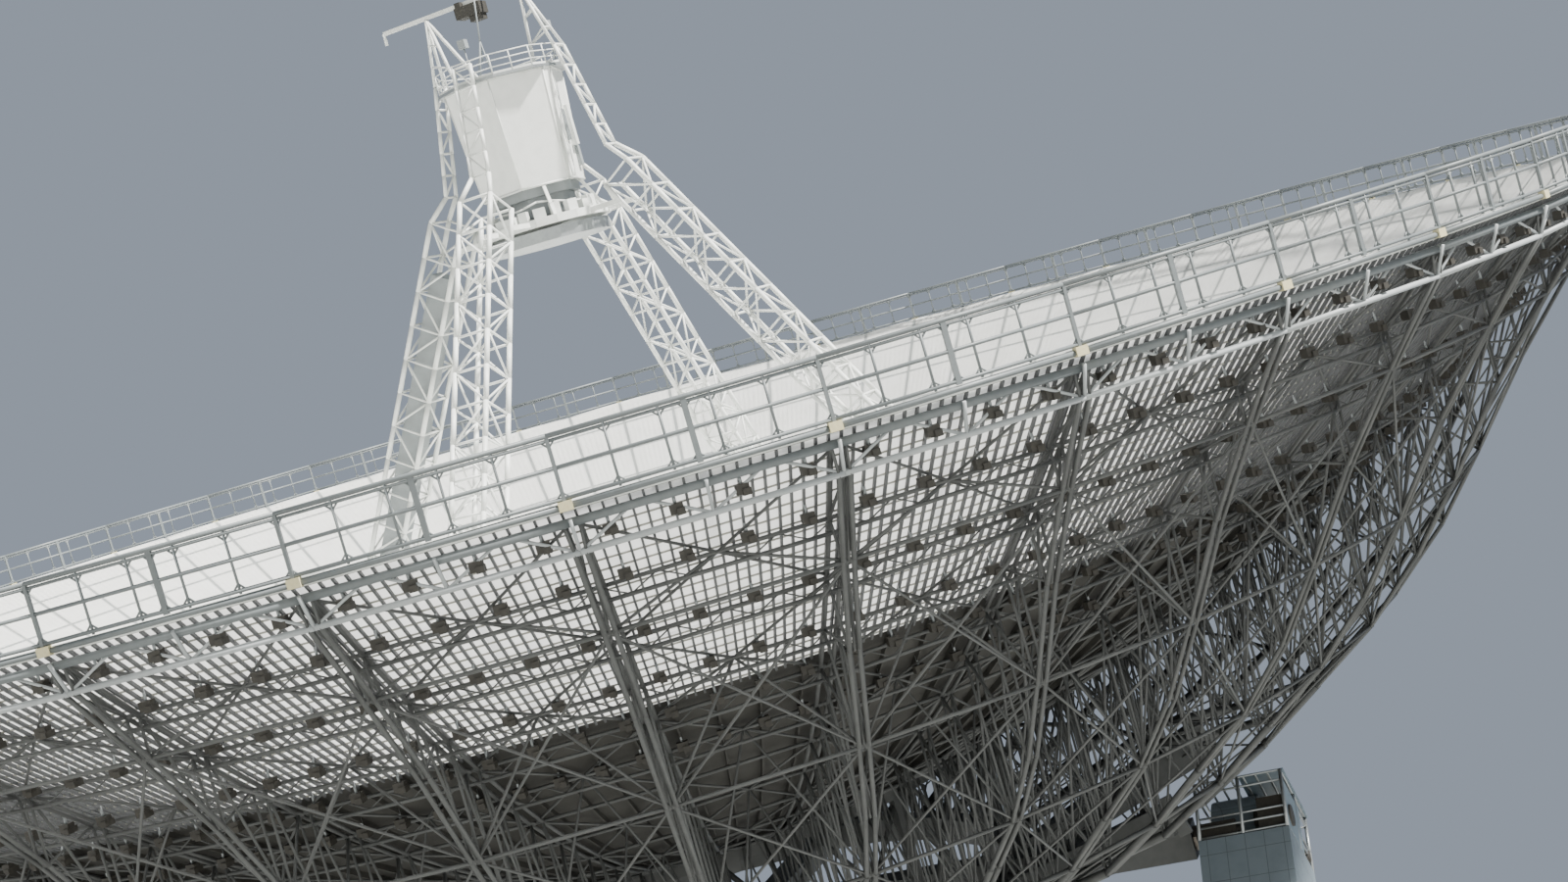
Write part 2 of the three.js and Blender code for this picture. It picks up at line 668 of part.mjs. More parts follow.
// Crane
function craneFrame({ turn, apex, deckFeet }) {
  const angle = LEG_START + turn;
  const head = polar(angle, apex, CRANE_HEIGHT);
  const sill = LADDER_HEAD[1] + GAP + CRANE_BAR / 2;
  const feet = [-1, 1].map((side) => ladderPoint(angle, 1, side).setZ(sill));
  const parts = [bar(...feet, CRANE_BAR), ...feet.map((foot) => bar(foot, head, CRANE_BAR))];
  for (const [direction, reach] of deckFeet) {
    const foot = polar(direction, reach, DECK_TOP - CRANE_BAR);
    parts.push(keepAbove(bar(foot, head, CRANE_BAR), DECK_TOP + GAP));
  }
  return keepBelow(fuse(parts), CRANE_HEIGHT + CRANE_BEAM / 2);
}

function cabinCrane() {
  const height = CRANE_HEIGHT + CRANE_BEAM / 2;
  const [left, right] = CRANE_ENDS.map((reach) => polar(LEG_START, reach, height));
  const hook = polar(LEG_START, CRANE_ENDS[0] + CRANE_BAR / 2, height);
  const hookEnd = hook.clone().setZ(height - CRANE_BEAM / 2 - CRANE_HOOK);
  const guide = polar(LEG_START, 1, 0);
  const parts = [bar(left, right, CRANE_BAR, CRANE_BEAM), bar(hook, hookEnd, CRANE_BAR, CRANE_BAR, guide)];
  return geometryOf(fuse([...parts, ...CRANE_FRAMES.map(craneFrame)]));
}

function craneHoist() {
  const [length, width, height] = HOIST_BOX;
  const top = CRANE_HEIGHT - GAP;
  const centre = polar(LEG_START, HOIST_REACH, top - height / 2);
  return new THREE.BoxGeometry(length, width, height).rotateZ(rad(LEG_START)).translate(...centre);
}

// Track and pier
function foundation() {
  const half = FOUNDATION_WIDTH / 2;
  return turned(ringProfile(TRACK_RADIUS - half, TRACK_RADIUS + half, 0, FOUNDATION_HEIGHT), TRACK_SEGMENTS);
}

function azimuthRail() {
  const base = FOUNDATION_HEIGHT + GAP;
  const half = RAIL_WIDTH / 2;
  const profile = ringProfile(TRACK_RADIUS - half, TRACK_RADIUS + half, base, base + RAIL_HEIGHT);
  return turned(profile, TRACK_SEGMENTS);
}

function pintlePier() {
  const profile = [[0, 0], [PIER_RADIUS, 0], [PIER_RADIUS, PIER_HEIGHT], [PIN_RADIUS, PIER_HEIGHT],
    [PIN_RADIUS, PIN_TOP], [0, PIN_TOP]].map(([radius, height]) => new THREE.Vector2(radius, height));
  return turned(profile, 20);
}

// Alidade
function baseFrame() {
  const [x, y] = CORNER;
  const height = (FRAME_BOTTOM + FRAME_TOP) / 2;
  const corner = (sx, sy) => new THREE.Vector3(sx * x, sy * y, height);
  const parts = [];
  for (const s of [-1, 1]) {
    parts.push(bar(corner(-1, s), corner(1, s), FRAME_BEAM));
    parts.push(bar(corner(s, -1), corner(s, 1), FRAME_BEAM));
    parts.push(bar(corner(-1, -s), corner(1, s), FRAME_BEAM * 0.8, FRAME_BEAM));
  }
  for (const [sx, sy] of [[-1, -1], [-1, 1], [1, -1], [1, 1]]) {
    parts.push(block([FRAME_BEAM * 1.6, FRAME_BEAM * 1.6, FRAME_BEAM], [sx * x, sy * y, height]));
  }
  const collar = new THREE.CylinderGeometry(FRAME_HUB_RADIUS, FRAME_HUB_RADIUS, FRAME_BEAM, 20);
  parts.push(solidOf(collar.rotateX(Math.PI / 2).translate(0, 0, height)));
  const bore = new THREE.CylinderGeometry(FRAME_BORE_RADIUS, FRAME_BORE_RADIUS, 2 * FRAME_BEAM, 20);
  return geometryOf(fuse(parts).subtract(solidOf(bore.rotateX(Math.PI / 2).translate(0, 0, height))));
}

function bogie(sx, sy) {
  const [length, width, height] = BOGIE_SIZE;
  const top = FRAME_BOTTOM - GAP;
  const railTop = FOUNDATION_HEIGHT + GAP + RAIL_HEIGHT;
  const parts = [block([width, length, height], [0, 0, top - height / 2])];
  for (const along of WHEEL_PAIRS) {
    const wheel = new THREE.CylinderGeometry(TRACK_WHEEL_RADIUS, TRACK_WHEEL_RADIUS, TRACK_WHEEL_WIDTH, 12);
    wheel.rotateZ(Math.PI / 2).rotateX(rad(15));
    const lowest = TRACK_WHEEL_RADIUS * Math.cos(rad(15));
    parts.push(solidOf(wheel.translate(0, along, railTop + RUNNING_GAP + lowest)));
  }
  const angle = Math.atan2(sy * CORNER[1], sx * CORNER[0]);
  const geometry = geometryOf(fuse(parts)).rotateZ(angle);
  return geometry.translate(sx * CORNER[0], sy * CORNER[1], 0);
}

function tower(side) {
  const legAt = (face, height) => {
    const share = (height - FRAME_TOP) / (TOWER_TOP - FRAME_TOP);
    const x = side * (CORNER[0] + (TOWER_HEAD[0] - CORNER[0]) * share);
    return new THREE.Vector3(x, face * (CORNER[1] + (TOWER_HEAD[1] - CORNER[1]) * share), height);
  };
  const levels = [FRAME_TOP + TOWER_LEVEL_INSET, ...TOWER_LEVELS, TOWER_TOP - TOWER_LEVEL_INSET];
  const parts = [];
  for (const face of [-1, 1]) {
    const legFoot = legAt(face, FRAME_TOP - TOWER_SINK);
    parts.push(bar(legFoot, legAt(face, TOWER_TOP + TOWER_LEVEL_INSET), TOWER_LEG));
    const strutFoot = new THREE.Vector3(side * STRUT_FOOT, face * CORNER[1], FRAME_TOP - STRUT_SINK);
    parts.push(bar(strutFoot, legAt(face, TOWER_LEVELS[0]), TOWER_TIE));
    for (let i = 0; i < levels.length - 1; i += 1) {
      parts.push(bar(legAt(face, levels[i]), legAt(-face, levels[i + 1]), TOWER_BRACE));
    }
  }
  for (const level of TOWER_LEVELS) parts.push(bar(legAt(-1, level), legAt(1, level), TOWER_TIE));
  const cap = [ROOM_OUTER - ROOM_INNER, 2 * ROOM_HALF_DEPTH, TOWER_CAP];
  parts.push(block(cap, [side * TOWER_HEAD[0], 0, TOWER_TOP - TOWER_CAP / 2]));
  return geometryOf(keepBelow(keepAbove(fuse(parts), FRAME_TOP + GAP), TOWER_TOP - GAP));
}

// Machine room with the trunnion's bearing on its roof
function bearingHouse(side) {
  const along = (radius, length, x) => {
    const barrel = new THREE.CylinderGeometry(radius, radius, length, 16).rotateZ(Math.PI / 2);
    return solidOf(barrel.translate(side * x, 0, AXIS_HEIGHT));
  };
  const room = [ROOM_OUTER - ROOM_INNER, 2 * ROOM_HALF_DEPTH, ROOM_TOP - ROOM_BOTTOM];
  const middle = (BEARING_INNER + BEARING_OUTER) / 2;
  const length = BEARING_OUTER - BEARING_INNER;
  const saddle = [length, 2 * BEARING_RADIUS, -ROOM_TOP + GANTRY_BAR];
  const parts = [
    block(room, [side * TOWER_HEAD[0], 0, AXIS_HEIGHT + (ROOM_TOP + ROOM_BOTTOM) / 2]),
    block(saddle, [side * middle, 0, AXIS_HEIGHT - saddle[2] / 2]),
    along(BEARING_RADIUS, length, middle),
  ];
  return geometryOf(fuse(parts).subtract(along(BORE_RADIUS, 2 * length, middle)));
}

// Open steel frame on the roof, round the bearing
function headGantry(side) {
  const floor = AXIS_HEIGHT + ROOM_TOP + GAP;
  const length = ROOM_OUTER - ROOM_INNER - GANTRY_BAR;
  const depth = 2 * ROOM_HALF_DEPTH - GANTRY_BAR;
  const x = side * TOWER_HEAD[0];
  const parts = [];
  for (const s of [-1, 1]) {
    for (const level of GANTRY_LEVELS) {
      const height = floor + level + GANTRY_BAR / 2;
      parts.push(block([length, GANTRY_BAR, GANTRY_BAR], [x, (s * depth) / 2, height]));
      parts.push(block([GANTRY_BAR, depth, GANTRY_BAR], [x + (s * length) / 2, 0, height]));
    }
    for (const t of [-1, 1]) {
      const post = [GANTRY_BAR, GANTRY_BAR, GANTRY_HEIGHT];
      parts.push(block(post, [x + (s * length) / 2, (t * depth) / 2, floor + GANTRY_HEIGHT / 2]));
    }
  }
  return geometryOf(fuse(parts));
}

function elevationDrive() {
  const parts = [block(DRIVE_FLOOR, [0, 0, DRIVE_TOP - DRIVE_FLOOR[2] / 2])];
  for (const [sx, sy] of [[-1, -1], [-1, 1], [1, -1], [1, 1]]) {
    const foot = new THREE.Vector3(sx * DRIVE_FEET[0], sy * DRIVE_FEET[1], FRAME_TOP - STRUT_SINK);
    const head = new THREE.Vector3(sx * DRIVE_HEAD, sy * DRIVE_HEAD, DRIVE_TOP - DRIVE_SINK);
    parts.push(bar(foot, head, DRIVE_LEG));
  }
  parts.push(block(DRIVE_HOUSE, [0, 0, DRIVE_TOP - DRIVE_SINK / 2 + DRIVE_HOUSE[2] / 2]));
  return geometryOf(keepAbove(fuse(parts), FRAME_TOP + GAP));
}

// Assembly
const telescope = new THREE.Group();
const dish = new THREE.Group();
dish.rotation.x = rad(90 - ELEVATION);
dish.position.z = AXIS_HEIGHT;
telescope.add(dish);

function place(group, name, geometry, finish) {
  const mesh = new THREE.Mesh(geometry, new THREE.MeshStandardMaterial(FINISHES[finish]));
  mesh.name = name;
  group.add(mesh);
}

const quarterNames = ['right_upper', 'left_upper', 'left_lower', 'right_lower'];
const sideNames = [['left', -1], ['right', 1]];

place(telescope, 'track_foundation', foundation(), 'concrete');
place(telescope, 'azimuth_rail', azimuthRail(), 'rail_steel');
place(telescope, 'pintle_pier', pintlePier(), 'concrete');

place(telescope, 'base_frame', baseFrame(), 'white_paint');
for (const [name, side] of sideNames) {
  place(telescope, `bogie_front_${name}`, bogie(side, -1), 'grey_paint');
  place(telescope, `bogie_rear_${name}`, bogie(side, 1), 'grey_paint');
  place(telescope, `tower_${name}`, tower(side), 'white_paint');
  place(telescope, `bearing_house_${name}`, bearingHouse(side), 'grey_paint');
  place(telescope, `head_gantry_${name}`, headGantry(side), 'grey_paint');
}
place(telescope, 'elevation_drive', elevationDrive(), 'grey_paint');

place(dish, 'hub_frame', hubFrame(), 'white_paint');
place(dish, 'elevation_wheel', elevationWheel(), 'grey_paint');
for (const [name, side] of sideNames) {
  place(dish, `counterweight_${name}`, counterweight(side), 'grey_paint');
  place(dish, `trunnion_${name}`, trunnion(side), 'rail_steel');
}
place(dish, 'reflector_centre', bowlCentre(), 'panel_paint');
quarterNames.forEach((name, quarter) => {
  place(dish, `reflector_${name}`, bowlQuarter(quarter), 'panel_paint');
  place(dish, `back_structure_${name}`, backQuarter(quarter), 'white_paint');
  place(dish, `rim_fence_${name}`, fenceQuarter(quarter), 'white_paint');
});

const legNames = ['right', 'upper', 'left', 'lower'];
const legAngles = legNames.map((_, i) => LEG_START + 90 * i);
const legs = legAngles.map((angle) => seatedOnReflector(cabinLeg(angle), angle, LEG_SIDE));
legNames.forEach((name, i) => place(dish, `cabin_leg_${name}`, geometryOf(legs[i]), 'white_paint'));
const shaft = seatedOnReflector(liftShaft(legAngles[LIFT_LEG]), legAngles[LIFT_LEG], LIFT_SIDE);
place(dish, 'lift_shaft', geometryOf(shaft), 'grey_paint');
place(dish, 'cabin_frame', cabinFrame(legs), 'white_paint');
place(dish, 'secondary_mirror', secondaryMirror(), 'panel_paint');
place(dish, 'focus_cabin', cabin(), 'panel_paint');
place(dish, 'cabin_deck', cabinDeck(), 'grey_paint');
place(dish, 'cabin_railing', cabinRailing(), 'white_paint');
place(dish, 'cabin_crane', cabinCrane(), 'white_paint');
place(dish, 'crane_hoist', craneHoist(), 'grey_paint');

export default telescope;
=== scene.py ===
"""Looks of a steerable radio telescope at one tenth of its real size.

The frame gives the bodies that move. Sizes of the telescope are written in metres of the real
structure, and one scale factor turns them into the model's metres.
"""
import logging
import math
from dataclasses import dataclass
from enum import Enum

import bpy
import numpy as np
from mathutils import Matrix, Vector


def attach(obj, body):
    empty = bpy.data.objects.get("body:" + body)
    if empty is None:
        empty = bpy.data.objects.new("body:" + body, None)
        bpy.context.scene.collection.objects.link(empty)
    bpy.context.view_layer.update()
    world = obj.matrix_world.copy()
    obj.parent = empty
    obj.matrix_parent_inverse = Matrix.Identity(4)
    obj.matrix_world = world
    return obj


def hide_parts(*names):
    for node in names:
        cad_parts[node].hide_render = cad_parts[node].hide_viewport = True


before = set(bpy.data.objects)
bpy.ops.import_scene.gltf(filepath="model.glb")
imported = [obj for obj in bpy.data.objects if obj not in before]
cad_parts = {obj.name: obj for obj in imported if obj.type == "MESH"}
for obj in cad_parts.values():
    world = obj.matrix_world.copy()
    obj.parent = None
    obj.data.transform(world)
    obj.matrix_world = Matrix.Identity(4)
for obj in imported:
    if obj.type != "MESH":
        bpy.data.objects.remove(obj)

LOG = logging.getLogger("telescope")
Array = np.ndarray
Material = bpy.types.Material
Tree = bpy.types.NodeTree
Socket = bpy.types.NodeSocket
Pair = tuple[float, float]
Triple = tuple[float, float, float]
Row = tuple[float, ...]

SCALE = 0.1
AXIS_HEIGHT = 50.0
ELEVATION_DEG = 44.5
VERTEX_OFFSET = 6.0
FOCAL_LENGTH = 30.0
BAYS = 40
BAY_DEG = 360.0 / BAYS
QUARTERS = ("right_upper", "left_upper", "left_lower", "right_lower")
BAYS_PER_QUARTER = BAYS // 4
LEG_DEG = -4.5
DECK_TOP = 45.24
TRACK_CORNER = (25.0, 20.0)
HANDS = (("left", -1), ("right", 1))
UP = np.array([0, 0, 1.0])
STEEP = 0.9
RAILING_POST = 0.04
RAILING_BAR = 0.035
SEED = 4711


class Body(str, Enum):
    """The bodies of the frame that pieces ride on."""

    TRACK = "track"
    ALIDADE = "alidade"
    DISH = "dish"


class Slot(str, Enum):
    """The record's finishes."""

    WHITE = "white_paint"
    PANEL = "panel_paint"
    GREY = "grey_paint"
    RAIL = "rail_steel"
    CONCRETE = "concrete"


# Places and shapes


def node_angle(index: Array | float) -> Array | float:
    """Angle of rib node number index round the dish axis, in radians."""
    return np.radians(BAY_DEG * (np.asarray(index, float) + 0.5))


def bowl_height(radius: Array | float) -> Array | float:
    """Height of the paraboloid above the elevation axis: the vertex offset plus r squared over 4 f."""
    return VERTEX_OFFSET + np.asarray(radius, float) ** 2 / (4 * FOCAL_LENGTH)


def polar(angle: Array | float, radius: Array | float, height: Array | float) -> Array:
    """Points from angle, radius and height about the dish axis.

    Args:
        angle: angles in radians from the elevation axis.
        radius: distances from the dish axis.
        height: distances along the dish axis from the elevation axis.

    Returns:
        An array of points with three columns.
    """
    angle, radius, height = np.broadcast_arrays(*(np.asarray(v, float) for v in (angle, radius, height)))
    return np.stack([radius * np.cos(angle), radius * np.sin(angle), height], axis=-1)


def level_axes(angle: Array | float) -> Array:
    """Unit axes at each angle about the upright axis: outward, round it, and up."""
    out = polar(angle, 1, 0)
    return np.stack([out, polar(angle + np.pi / 2, 1, 0), np.broadcast_to(UP, out.shape)], axis=-2)


def quarters() -> list[tuple[int, str, Array]]:
    """Number, name and bays of each quarter of the dish."""
    bays = np.arange(BAYS_PER_QUARTER, dtype=float)
    return [(i, name, i * BAYS_PER_QUARTER + bays) for i, name in enumerate(QUARTERS)]


def dish_to_model(points: Array) -> Array:
    """Turns dish points in real metres to model metres: tilt about X, scale, and lift to the axis."""
    tilt = math.radians(90 - ELEVATION_DEG)
    turn = np.array([
        [1, 0, 0],
        [0, math.cos(tilt), -math.sin(tilt)],
        [0, math.sin(tilt), math.cos(tilt)],
    ])
    return SCALE * (points @ turn.T + AXIS_HEIGHT * UP)


def ground_to_model(points: Array) -> Array:
    """Turns ground points in real metres to model metres."""
    return SCALE * points


@dataclass
class Batch:
    """Loose quads: corner points and, for each quad, four indices and whether it shades smooth."""

    points: Array
    quads: Array
    smooth: Array
    uv: Array | None = None


def tubes(start: Array, end: Array, radius: Array | float, sides: int = 6) -> Batch:
    """Round bars between two tables of points of the same or a matching shape.

    Each bar is a prism: its corners are start or end plus r (cos t u + sin t v), where u and v are
    square to the bar, and its ends are closed.

    Args:
        start: first end of each bar.
        end: second end of each bar.
        radius: one radius, or one for each bar.
        sides: an even number of sides.

    Returns:
        The bars as quads.
    """
    start, end = np.broadcast_arrays(start, end)
    radius = np.broadcast_to(radius, start.shape[:-1]).ravel()
    start, end = start.reshape(-1, 3), end.reshape(-1, 3)
    along = end - start
    along = along / np.linalg.norm(along, axis=1, keepdims=True)
    guide = np.where(np.abs(along[:, 2:3]) < STEEP, [UP], [[1.0, 0.0, 0.0]])
    across = np.cross(guide, along)
    across /= np.linalg.norm(across, axis=1, keepdims=True)
    upward = np.cross(along, across)
    turn = 2 * np.pi * (np.arange(sides) + 0.5) / sides
    ring = np.cos(turn)[None, :, None] * across[:, None] + np.sin(turn)[None, :, None] * upward[:, None]
    ring = ring * radius[:, None, None]
    points = np.concatenate([start[:, None] + ring, end[:, None] + ring], axis=1)
    k = np.arange(sides)
    following = (k + 1) % sides
    wall = np.stack([k, following, following + sides, k + sides], axis=1)
    fan = np.array([[0, 2 * i + 1, 2 * i + 2, 2 * i + 3] for i in range(sides // 2 - 1)])
    pattern = np.concatenate([wall, fan[:, ::-1], fan + sides])
    quads = (pattern[None] + 2 * sides * np.arange(len(start))[:, None, None]).reshape(-1, 4)
    return Batch(points.reshape(-1, 3), quads, np.tile(np.arange(len(pattern)) < sides, len(start)))


def loop(points: Array, radius: float) -> Batch:
    """Round bars along a closed chain of points."""
    return tubes(points, np.roll(points, -1, axis=0), radius)


def zigzag(first: Array, second: Array, shift: Array | int = 0) -> tuple[Array, Array]:
    """Ends of a zigzag between two chains of points. It starts on the second one where shift is odd."""
    step = np.arange(len(first) - 1).reshape(-1, *[1] * (first.ndim - 1))
    on_first = (step + shift) % 2 == 0
    return np.where(on_first, first[:-1], second[:-1]), np.where(on_first, second[1:], first[1:])


CUBE_CORNERS = np.array([[x, y, z] for z in (-1, 1) for x, y in ((-1, -1), (1, -1), (1, 1), (-1, 1))], float)
CUBE_QUADS = np.array([[3, 2, 1, 0], [4, 5, 6, 7], [0, 1, 5, 4], [1, 2, 6, 5], [2, 3, 7, 6], [3, 0, 4, 7]])


def boxes(centre: Array, axes: Array, half: Array) -> Batch:
    """Boxes from centres, three unit axes each, and half sizes along those axes."""
    centre = np.atleast_2d(centre)
    count = len(centre)
    axes = np.broadcast_to(axes, (count, 3, 3))
    half = np.broadcast_to(half, (count, 3))
    points = centre[:, None] + np.einsum("kc,nc,ncd->nkd", CUBE_CORNERS, half, axes)
    quads = (CUBE_QUADS[None] + 8 * np.arange(count)[:, None, None]).reshape(-1, 4)
    return Batch(points.reshape(-1, 3), quads, np.zeros(len(quads), bool))


def upright_boxes(centre: Array, half: Array) -> Batch:
    """Boxes along X, Y and Z, from centres and half sizes."""
    return boxes(centre, np.eye(3), half)


def beams(start: Array, end: Array, width: float, depth: float, up: Array) -> Batch:
    """Rectangular bars between two tables of points, each with its depth towards up."""
    start, end, up = (table.reshape(-1, 3) for table in np.broadcast_arrays(start, end, up))
    along = end - start
    length = np.linalg.norm(along, axis=1, keepdims=True)
    along = along / length
    across = np.cross(up, along)
    across /= np.linalg.norm(across, axis=1, keepdims=True)
    axes = np.stack([across, np.cross(along, across), along], axis=1)
    half = np.concatenate([np.tile([width / 2, depth / 2], (len(length), 1)), length / 2], axis=1)
    return boxes((start + end) / 2, axes, half)


def sheet(grid: Array, uv: Array | None = None, closed: bool = False, smooth: bool = True) -> Batch:
    """A surface through a grid of points, rows by columns, with its faces towards the first side."""
    index = np.arange(grid.shape[0] * grid.shape[1]).reshape(grid.shape[:2])
    following = np.roll(index, -1, axis=0) if closed else index[1:]
    index = index if closed else index[:-1]
    quads = np.stack([index[:, :-1], following[:, :-1], following[:, 1:], index[:, 1:]], axis=-1)
    quads = quads.reshape(-1, 4)
    uv = None if uv is None else uv.reshape(-1, 2)
    return Batch(grid.reshape(-1, 3), quads, np.full(len(quads), smooth), uv)


def turned(profile: list[Pair], steps: int) -> Batch:
    """A profile of radius and height turned about Z: each point is (r cos t, r sin t, h)."""
    radius, height = np.array(profile).T
    angle = 2 * np.pi * np.arange(steps)[:, None] / steps
    return sheet(polar(angle, radius[None], height[None]), closed=True)


def railing(foot: Array, height: float) -> Batch:
    """A post on each foot, and two rails from the first post to the last."""
    lift = np.array([[height / 2], [height]]) * UP
    rails = tubes(foot[0] + lift, foot[-1] + lift, RAILING_BAR)
    return joined([tubes(foot, foot + height * UP, RAILING_POST), rails])


def moved(batch: Batch, axes: Array, origin: Array) -> Batch:
    """A copy of a batch turned so that its own X, Y and Z lie along three axes, and shifted."""
    return Batch(batch.points @ np.asarray(axes, float) + origin, batch.quads, batch.smooth, batch.uv)


def joined(batches: list[Batch]) -> Batch:
    """All batches in one, with their indices moved on."""
    offsets = np.cumsum([0] + [len(b.points) for b in batches[:-1]])
    has_uv = any(b.uv is not None for b in batches)
    uv = [b.uv if b.uv is not None else np.zeros((len(b.points), 2)) for b in batches]
    return Batch(
        np.concatenate([b.points for b in batches]),
        np.concatenate([b.quads + o for b, o in zip(batches, offsets)]),
        np.concatenate([b.smooth for b in batches]),
        np.concatenate(uv) if has_uv else None,
    )


def make_piece(
    name: str,
    layers: list[tuple[Batch, Material]],
    body: Body,
    replaces: tuple[str, ...] = (),
) -> bpy.types.Object:
    """Makes one object from batches of quads and hangs it on its body.

    Args:
        name: the piece's name.
        layers: batches in real metres, each with its material.
        body: the body that it rides on.
        replaces: solids of the frame that the piece stands for.

    Returns:
        The new object.
    """
    whole = joined([batch for batch, _ in layers])
    place = dish_to_model if body is Body.DISH else ground_to_model
    mesh = bpy.data.meshes.new(name)
    mesh.vertices.add(len(whole.points))
    mesh.vertices.foreach_set("co", place(whole.points).astype(np.float32).ravel())
    mesh.loops.add(4 * len(whole.quads))
    mesh.loops.foreach_set("vertex_index", whole.quads.astype(np.int32).ravel())
    mesh.polygons.add(len(whole.quads))
    mesh.polygons.foreach_set("loop_start", np.arange(0, 4 * len(whole.quads), 4, dtype=np.int32))
    mesh.polygons.foreach_set("use_smooth", whole.smooth)
    picks = np.concatenate([np.full(len(batch.quads), i, np.int32) for i, (batch, _) in enumerate(layers)])
    mesh.polygons.foreach_set("material_index", picks)
    if whole.uv is not None:
        layer = mesh.uv_layers.new(name="pattern")
        layer.data.foreach_set("uv", whole.uv[whole.quads.ravel()].astype(np.float32).ravel())
    mesh.update(calc_edges=True)
    mesh.validate()
    for _, material in layers:
        mesh.materials.append(material)
    piece = bpy.data.objects.new(name, mesh)
    bpy.context.scene.collection.objects.link(piece)
    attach(piece, body.value)
    if replaces:
        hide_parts(*replaces)
    LOG.info("%s: %d quads on %s", name, len(whole.quads), body.value)
    return piece


# Finishes


def linear(code: str) -> tuple[float, float, float, float]:
    """Turns an sRGB hex colour to linear values with alpha, by the sRGB standard's own curve."""
    values = [int(code[i:i + 2], 16) / 255 for i in (1, 3, 5)]
    return (*[v / 12.92 if v <= 0.04045 else ((v + 0.055) / 1.055) ** 2.4 for v in values], 1.0)


def add_node(tree: Tree, kind: str, settings: dict | None = None, **inputs) -> bpy.types.Node:
    """Adds a node to a tree.

    Args:
        tree: the material's nodes.
        kind: the node's type.
        settings: attributes of the node.
        inputs: values or output sockets, named after the node's inputs with _ for a space, or _0 for
            number 0.

    Returns:
        The new node.
    """
    node = tree.nodes.new(kind)
    for key, value in (settings or {}).items():
        setattr(node, key, value)
    for key, value in inputs.items():
        socket = node.inputs[int(key[1:])] if key[1:].isdigit() else node.inputs[key.replace("_", " ")]
        if isinstance(value, Socket):
            tree.links.new(value, socket)
        else:
            socket.default_value = value
    return node


@dataclass(frozen=True)
class Finish:
    """A painted, bare or cast surface with slow stains, fine grain and a little relief.

    grain_mm and stain_mm are real sizes on the model, and relief_mm the height of the grain.
    """

    name: str
    colour: str
    stain: str
    roughness: float
    metallic: float = 0.0
    stain_mm: float = 60.0
    grain_mm: float = 6.0
    stain_share: float = 0.35
    stain_from: float = 0.42
    stain_to: float = 0.78
    smoother: float = 0.1
    rougher: float = 0.12
    least_roughness: float = 0.05
    relief_mm: float = 0.4
    relief_strength: float = 0.25

    def build(self) -> Material:
        """Makes the material: two noises of Object coordinates mix the paint and its stains."""
        material = bpy.data.materials.new(self.name)
        material.use_nodes = True
        tree = material.node_tree
        tree.nodes.clear()
        add_node(tree, "ShaderNodeOutputMaterial", _0=self.surface(tree, self.shader(tree)))
        return material

    def shader(self, tree: Tree) -> bpy.types.Node:
        """The painted surface itself."""
        place = add_node(tree, "ShaderNodeTexCoord").outputs["Object"]
        cloud = add_node(tree, "ShaderNodeTexNoise", Vector=place, Scale=1000 / self.stain_mm, Detail=4.0)
        grain = add_node(tree, "ShaderNodeTexNoise", Vector=place, Scale=1000 / self.grain_mm, Detail=3.0)
        mask = add_node(tree, "ShaderNodeMapRange", Value=cloud.outputs[0], From_Min=self.stain_from,
                        From_Max=self.stain_to, To_Max=self.stain_share)
        colour = self.mixed(tree, mask.outputs[0], self.base(tree), linear(self.stain))
        rough = add_node(tree, "ShaderNodeMapRange", Value=grain.outputs[0],
                         To_Min=max(self.roughness - self.smoother, self.least_roughness),
                         To_Max=min(self.roughness + self.rougher, 1.0))
        relief = add_node(tree, "ShaderNodeBump", Height=grain.outputs[0], Strength=self.relief_strength,
                          Distance=self.relief_mm / 1000)
        return add_node(tree, "ShaderNodeBsdfPrincipled", Base_Color=colour, Roughness=rough.outputs[0],
                        Metallic=self.metallic, Normal=relief.outputs[0])

    def mixed(self, tree: Tree, share, first, second) -> Socket:
        """Mixes two colours, each a value or a socket."""
        mix = add_node(tree, "ShaderNodeMix", {"data_type": "RGBA"}, _0=share, _6=first, _7=second)
        return mix.outputs[2]

    def base(self, tree: Tree):
        """The clean colour, a value or a socket."""
        return linear(self.colour)

    def surface(self, tree: Tree, shader: bpy.types.Node) -> Socket:
        """What reaches the output."""
        return shader.outputs[0]


@dataclass(frozen=True)
class Jointed(Finish):
    """A finish with dark joints between its sheets."""

    seam: str = "#8E9494"

    def joints(self, tree: Tree, ways: tuple, width: float) -> Socket:
        """Seam colour wherever a coordinate comes close to a whole number of steps.

        Args:
            tree: the material's nodes.
            ways: two pairs of a coordinate's socket and half its step.
            width: half the joint's width, in the coordinate's unit.

        Returns:
            The colour's socket.
        """
        edges = []
        for way, half_step in ways:
            inside = add_node(tree, "ShaderNodeMath", {"operation": "PINGPONG"}, _0=way, _1=half_step)
            near = add_node(tree, "ShaderNodeMath", {"operation": "LESS_THAN"}, _0=inside.outputs[0],
                            _1=width)
            edges.append(near.outputs[0])
        either = add_node(tree, "ShaderNodeMath", {"operation": "MAXIMUM"}, _0=edges[0], _1=edges[1])
        return self.mixed(tree, either.outputs[0], linear(self.colour), linear(self.seam))


@dataclass(frozen=True)
class SeamedPanel(Jointed):
    """Sheet panels: the piece's own UV map counts panels, and the joints between them show as dark lines."""

    seam_width: float = 0.03

    def base(self, tree: Tree):
        """Panel colour with a seam wherever a panel's own coordinate comes near 0 or 1."""
        uv = add_node(tree, "ShaderNodeUVMap", {"uv_map": "pattern"})
        part = add_node(tree, "ShaderNodeSeparateXYZ", Vector=uv.outputs[0])
        return self.joints(tree, ((part.outputs[0], 0.5), (part.outputs[1], 0.5)), self.seam_width)


